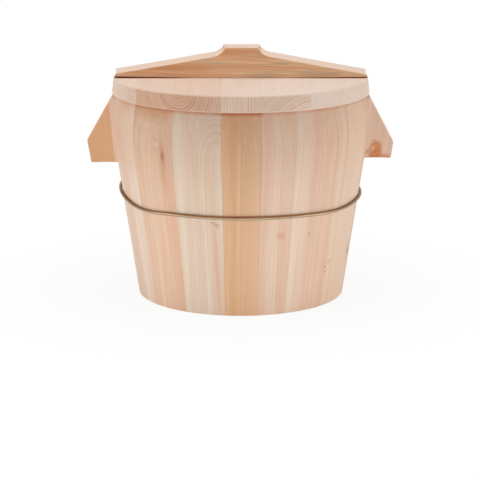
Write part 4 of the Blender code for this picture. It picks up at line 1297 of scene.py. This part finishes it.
handle_low, handle_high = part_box("lid_handle")
rim = screw_head_radius + SCREW_PLAY
shank = SCREW_SHANK_RADIUS + SCREW_PLAY
head = lid_bottom + SCREW_SINK
sink_profile = [(shank, lid_top - SINK_BELOW_TOP), (shank, head + SCREW_HEAD_DEPTH), (rim, head),
                (rim, lid_bottom - SINK_PAST)]
lid_joints = joints_between(lid_boxes)
for i, (left, right, middle) in enumerate(board_spans(lid_joints, lid_radius)):
    node = lid_nodes[i]
    board = new_piece(node + "_fir", keep_between(turned(lid_profile(), LID_SIDES), 0, left, right))
    for place in screw_places:
        if left < place.x < right:
            sink = turned(sink_profile, SINK_SIDES)
            bmesh.ops.translate(sink, verts=sink.verts, vec=Vector((place.x, place.y, 0.0)))
            cut_away(board, sink)
    # The lid gets painted shade under the handle's ends.
    finish = board_wood(node, LID_WOOD[i], middle, lid_top, seed=40.0 + 2.3 * i, contrast=0.10,
                        end_contrast=0.75, end_from=0.30, arris=(lid_seat, lid_top), streaks=0.35, sway=0.003,
                        rise=0.006, covered=(handle_high.y, lid_top, SHADE_UNDER_HANDLE))
    hang(dress(ease(board, BOARD_EDGE, angle=60.0), finish), "lid", "lid_wood", node)
print("lid: radius", round(lid_radius, 4), "joints at", [round(x, 4) for x in lid_joints])

# %% [markdown]
# ## The lid's handle
# One thick batten lies right across the lid: low at its ends, hollowed up to a raised grip in the middle,
# and rounded at the ends like the lid. It has bowed, so the ends stand off the lid, the left one more.
# The outline is worked out for a row of planes from front to back, because the ends get shorter away from
# the middle and the grip is a little narrower in front, and the planes are lofted.

# %% The lid's handle
HANDLE_SHOULDER = (0.0292, 0.0215)
HANDLE_END_HEIGHT = 0.0026
HANDLE_TILT = 0.0004
HANDLE_GRIP_HALF = 0.0177
HANDLE_GRIP_TAPER = 0.0008
HANDLE_GRIP_SHIFT = 0.0009
HANDLE_END_SPLAY = 0.0007
HANDLE_GRIP_LEAN = 0.004
HANDLE_GRIP_ROUND = 0.0012
HANDLE_BOW = {-1.0: 0.0014, 1.0: 0.0006}
HANDLE_BOW_START = 0.040
HANDLE_EDGE = 0.0005
HANDLE_GAP = 0.0002
HANDLE_UNDER_STEPS = 14
HANDLE_SLOPE_STEPS = 8
HANDLE_BEND_STEPS = 12
HANDLE_ROUND_STEPS = 5
HANDLE_PLANES = 8
handle_rise = handle_high.z - lid_top
handle_end_radius = handle_high.x


def handle_under(x, side):
    share = max(0.0, x - HANDLE_BOW_START) / (lid_radius - HANDLE_BOW_START)
    return HANDLE_GAP + HANDLE_BOW[side] * share ** 2


def handle_half(y, side):
    """One side of the handle's outline in the plane at y, from the middle of its underside to its top."""
    forward = -y / handle_high.y
    end = handle_end_radius - HANDLE_END_SPLAY * (1.0 + forward)
    end_height = HANDLE_END_HEIGHT - HANDLE_TILT * forward
    shoulder = Vector((HANDLE_SHOULDER[0] + HANDLE_GRIP_SHIFT * side,
                       HANDLE_SHOULDER[1] - HANDLE_TILT * forward))
    grip = HANDLE_GRIP_HALF - HANDLE_GRIP_TAPER * forward + HANDLE_GRIP_SHIFT * side
    top = handle_rise - HANDLE_TILT * (1.0 - forward)
    slope = (shoulder.y - end_height) / (lid_radius - shoulder.x)
    foot = grip + HANDLE_GRIP_LEAN
    bend = Vector((foot, shoulder.y + slope * (shoulder.x - foot)))
    side_top = Vector((grip, top - HANDLE_GRIP_ROUND))
    half = [Vector((x, handle_under(x, side))) for x in spread(0.0, end, HANDLE_UNDER_STEPS)]
    for x in spread(end, shoulder.x, HANDLE_SLOPE_STEPS)[:-1]:
        half.append(Vector((x, shoulder.y - slope * (x - shoulder.x) + handle_under(x, side))))
    half += curve(shoulder, bend, side_top, HANDLE_BEND_STEPS)
    grip_edge = Vector((grip - HANDLE_GRIP_ROUND, top))
    half += curve(side_top, Vector((grip, top)), grip_edge, HANDLE_ROUND_STEPS)[1:]
    return half


def handle_outline(y):
    """The handle's outline in the plane at y. Its top leans a little, and its grip isn't quite central."""
    right = handle_half(y, 1.0)
    left = handle_half(y, -1.0)
    outline = right + [Vector((-p.x, p.y)) for p in left[:0:-1]]
    return [Vector((p.x, y, lid_top + p.y)) for p in outline]


handle_planes = [handle_outline(y) for y in spread(handle_low.y, handle_high.y, HANDLE_PLANES)]
handle = new_piece("lid_handle_fir", loft(handle_planes))
ease(handle, HANDLE_EDGE, segments=3, angle=50.0)
print("handle:", len(handle.data.polygons), "faces, rise", round(handle_rise, 4))

# %% [markdown]
# ## The handle's wood
# The handle is warmer than the lid, with coarse grain along it and a few greyish smudges, and its upper side
# is painted paler, as if lit from above. The lid's fir in another tone would come close, but without the
# smudges, so the handle is a board of its own, with smears placed by their height on its front.

# %% The handle's wood
SMUDGE = (186, 164, 134)

handle_place = wood_place((0.0, 0.0, lid_top), (1.0, 0.0, 0.0), (0.0, 1.0, 0.0), (0.030, -0.060))
smudges = (smear(0.005, 0.08, 0.003, 7.0, SMUDGE, 0.5, cross=True),
           smear(0.0025, 0.024, 0.0016, 12.0, SMUDGE, 0.45, cross=True),
           smear(0.015, 0.04, 0.001, 9.0, SMUDGE, 0.6, cross=True),
           smear(0.009, -0.07, 0.0012, 10.0, SMUDGE, 0.5, cross=True),
           smear(0.006, -0.08, 0.008, 6.0, (210, 140, 90), 0.3, cross=True, halo=1.5))
# The paler tone for the upper side is a painted highlight, as if lit from above.
dress(handle, fir("fir_lid_handle", handle_place, early=(247, 205, 165), late=(205, 139, 92),
                  streak=(221, 158, 112), pale=(216, 188, 154), ring=0.0026, contrast=0.55, streaks=1.0,
                  grain=(520.0, 18.0), sway=0.006, wave=20.0, rise=0.03, seed=60.0, lit_top_tone=(225, 199, 181),
                  knots=smudges))
hang(handle, "lid", "handle_wood", "lid_handle")
print("handle wood:", len(smudges), "smudges")

# %% [markdown]
# ## One screw
# Countersunk wood screws hold the handle from below. A true thread would need many faces that nobody sees,
# so it is a row of ridges in the turned outline, and only the cross in the head is cut out.

# %% One screw
CROSS_LENGTH = 0.0044
CROSS_WIDTH = 0.0010
CROSS_DEPTH = 0.0012
CROSS_PAST = 0.001
HEAD_BEVEL = (0.0003, 0.0002)
THREAD_START = 0.004
THREAD_LEAD = 0.001
THREAD_TURNS = 6
SCREW_SIDES = 40
POINT_LENGTH = 0.0025
NECK_RADIUS = 0.85 * SCREW_SHANK_RADIUS
CORE_RADIUS = 0.78 * SCREW_SHANK_RADIUS
POINT_RADIUS = 0.2 * SCREW_SHANK_RADIUS


def screw_shape(head, end):
    """A countersunk screw from its head to its point. Its thread is a row of ridges."""
    first = head + SCREW_HEAD_DEPTH + THREAD_START
    last = end - POINT_LENGTH
    profile = [(screw_head_radius - HEAD_BEVEL[0], head), (screw_head_radius, head + HEAD_BEVEL[1]),
               (SCREW_SHANK_RADIUS, head + SCREW_HEAD_DEPTH), (NECK_RADIUS, first - THREAD_LEAD)]
    for i in range(THREAD_TURNS):
        low = first + (last - first) * i / THREAD_TURNS
        high = first + (last - first) * (i + 0.5) / THREAD_TURNS
        profile += [(CORE_RADIUS, low), (SCREW_SHANK_RADIUS, high)]
    profile += [(CORE_RADIUS, last), (POINT_RADIUS, end)]
    return turned(profile, SCREW_SIDES)


def block(low, high):
    """A plain box from its lowest corner to its highest."""
    bm = bmesh.new()
    bmesh.ops.create_cube(bm, size=1.0)
    for v in bm.verts:
        v.co = Vector([low[i] if v.co[i] < 0.0 else high[i] for i in range(3)])
    return bm


head = screw_boxes[0][0].z
screw = new_piece("one_screw", screw_shape(head, screw_boxes[0][1].z))
for long_side, short_side in ((CROSS_LENGTH, CROSS_WIDTH), (CROSS_WIDTH, CROSS_LENGTH)):
    cut_away(screw, block((-long_side / 2.0, -short_side / 2.0, head - CROSS_PAST),
                          (long_side / 2.0, short_side / 2.0, head + CROSS_DEPTH)))
print("screw:", len(screw.data.polygons), "faces")

# %% [markdown]
# ## The handle's screws
# Four screws come up through the lid into the handle. They could be copied one by one, but they are all
# alike, so Geometry Nodes puts a copy of the one screw at each place that the CAD screws hold.

# %% The handle's screws
tree, inputs = new_tree("screws_at_points", (("Geometry", "Geometry"), ("Screw", "Object"),
                                             ("Metal", "Material")))
start = Wire(tree)
one = start.node("GeometryNodeObjectInfo", sockets={"Object": inputs["Screw"]}, out="Geometry")
copies = start.node("GeometryNodeInstanceOnPoints", sockets={"Points": inputs["Geometry"], "Instance": one})
close_tree(copies, inputs["Metal"])

points = bpy.data.meshes.new("screw_places")
points.from_pydata([(p.x, p.y, 0.0) for p in screw_places], [], [])
screw_metal = metal("screw_steel", tone(190, 190, 188), rough=0.28, streaks=(1200.0, 90.0, 1200.0), wear=0.4)
screws = grow("handle_screws", tree, {"Screw": screw, "Metal": screw_metal}, points)
bpy.data.objects.remove(screw, do_unlink=True)
hang(ease(screws, 0.0), "lid", "screw_steel", *screw_nodes)
print("screws:", len(screw_nodes), "with", len(screws.data.polygons), "faces in all")

# %% [markdown]
# ## Saw slots
# Slots let the steam up through the grate. On the real one they are saw cuts that run in from the rim, in two
# rows. A boolean for each would do, but they repeat, so Geometry Nodes copies one cut along both rows and
# takes all the copies out of a board at once.

# %% Saw slots
SLOT_WIDTH = 0.0026
SLOT_PITCH = 0.030
SLOT_START = 0.018
SLOT_SHIFT = 0.003
SLOT_LENGTH = 0.10
SLOT_HEIGHT = 0.10
SLOTS_IN_ROW = 5

tree, inputs = new_tree("saw_slots", (
    ("Geometry", "Geometry"), ("Pitch", "Float"), ("Shift", "Float"), ("Start", "Float"), ("Length", "Float"),
    ("Width", "Float"), ("Wood", "Material")))
start = Wire(tree)
saw_size = start.at(inputs["Width"], inputs["Length"], SLOT_HEIGHT)
saw_cut = start.node("GeometryNodeMeshCube", sockets={"Size": saw_size})
rows = []
for side in (-1.0, 1.0):
    leftmost = inputs["Pitch"] * (-0.5 * (SLOTS_IN_ROW - 1)) + inputs["Shift"] * (-0.5 * side)
    first = start.at(leftmost, (inputs["Start"] + inputs["Length"] * 0.5) * side, 0.0)
    line = start.node("GeometryNodeMeshLine", {"mode": "OFFSET"},
                      {"Count": SLOTS_IN_ROW, "Start Location": first,
                       "Offset": start.at(inputs["Pitch"], 0.0, 0.0)})
    rows.append(start.node("GeometryNodeInstanceOnPoints", sockets={"Points": line, "Instance": saw_cut}))
both_rows = start.node("GeometryNodeJoinGeometry")
for row in rows:
    tree.links.new(row.socket, both_rows.socket.node.inputs["Geometry"])
cuts = start.node("GeometryNodeRealizeInstances", sockets={"Geometry": both_rows})
slotted = start.node("GeometryNodeMeshBoolean", {"operation": "DIFFERENCE", "solver": "EXACT"},
                     {"Mesh 1": inputs["Geometry"], "Mesh 2": cuts})
close_tree(slotted, inputs["Wood"])
print("slots: two rows of", SLOTS_IN_ROW, "at", SLOT_PITCH, "m")

# %% [markdown]
# ## The grate
# Three boards close the bottom, coned at the rim so that they seat in the barrel's taper, and a batten is let
# into their top to hold them together. They are cut from a turned round as the lid's are, and the slots come
# last, as the maker would saw them.

# %% The grate
GRATE_GAP = 0.0004
GRATE_EDGE = 0.0004
GRATE_SIDES = 160
BATTEN_PLAY = 0.0002
BATTEN_EDGE = 0.0008
PAST_GRATE = 0.2

grate_nodes = [f"grate_board_{n}" for n in range(1, 4)]
grate_boxes = [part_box(node) for node in grate_nodes]
grate_bottom = grate_boxes[1][0].z
grate_top = grate_boxes[1][1].z
batten_low, batten_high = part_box("grate_batten")
grate_joints = joints_between(grate_boxes)


def grate_radius(z):
    return inner_radius(z) - GRATE_GAP


def coned(low, high):
    """A disc that fits the barrel's taper from one height to another."""
    return turned([(grate_radius(high), high), (grate_radius(low), low)], GRATE_SIDES)


GRATE_WOOD = (
    dict(early=(222, 174, 132), late=(176, 112, 66), streak=(206, 148, 102), pale=(228, 188, 150),
         pith=(0.02, 0.03),
         knots=(knot(0.006, -0.03, 0.005, 0.7, eye=True),)),
    dict(early=(224, 178, 138), late=(182, 120, 74), streak=(210, 154, 108), pale=(229, 191, 154),
         pith=(-0.01, 0.036),
         knots=(knot(-0.012, 0.038, 0.006, 0.75, eye=True), knot(0.016, -0.052, 0.003, 0.6))),
    dict(early=(221, 173, 131), late=(178, 116, 70), streak=(204, 147, 100), pale=(228, 187, 148),
         pith=(0.04, 0.024)),
)

groove_low = (-PAST_GRATE, batten_low.y - BATTEN_PLAY, batten_low.z - BATTEN_PLAY)
groove_high = (PAST_GRATE, batten_high.y + BATTEN_PLAY, batten_high.z + PAST_GRATE)
for i, (left, right, middle) in enumerate(board_spans(grate_joints, base_radius)):
    node = grate_nodes[i]
    blank = new_piece(node + "_blank", keep_between(coned(grate_bottom, grate_top), 0, left, right))
    cut_away(blank, block(groove_low, groove_high))
    finish = board_wood(node, GRATE_WOOD[i], middle, grate_top, seed=70.0 + 3.1 * i, ring=0.0023,
                        contrast=0.5)
    board = grow(node + "_fir", tree, {
        "Pitch": SLOT_PITCH, "Shift": SLOT_SHIFT, "Start": SLOT_START, "Length": SLOT_LENGTH,
        "Width": SLOT_WIDTH, "Wood": finish}, blank.data)
    bpy.data.objects.remove(blank, do_unlink=True)
    hang(ease(dress(board, finish), GRATE_EDGE, angle=60.0), "grate", "grate_wood", node)

bm = keep_between(coned(batten_low.z, batten_high.z), 1, batten_low.y, batten_high.y)
batten = ease(new_piece("grate_batten_fir", bm), BATTEN_EDGE, angle=60.0)
batten_place = wood_place((0.0, 0.0, batten_high.z), (1.0, 0.0, 0.0), (0.0, 1.0, 0.0), (0.012, 0.050))
dress(batten, fir("fir_grate_batten", batten_place, early=(224, 182, 140), late=(184, 126, 80),
                  streak=(208, 156, 110), pale=(230, 194, 156), ring=0.0018, seed=90.0))
hang(batten, "grate", "grate_wood", "grate_batten")
print("grate: joints at", [round(x, 4) for x in grate_joints], "batten top", round(batten_high.z, 4))

# %% [markdown]
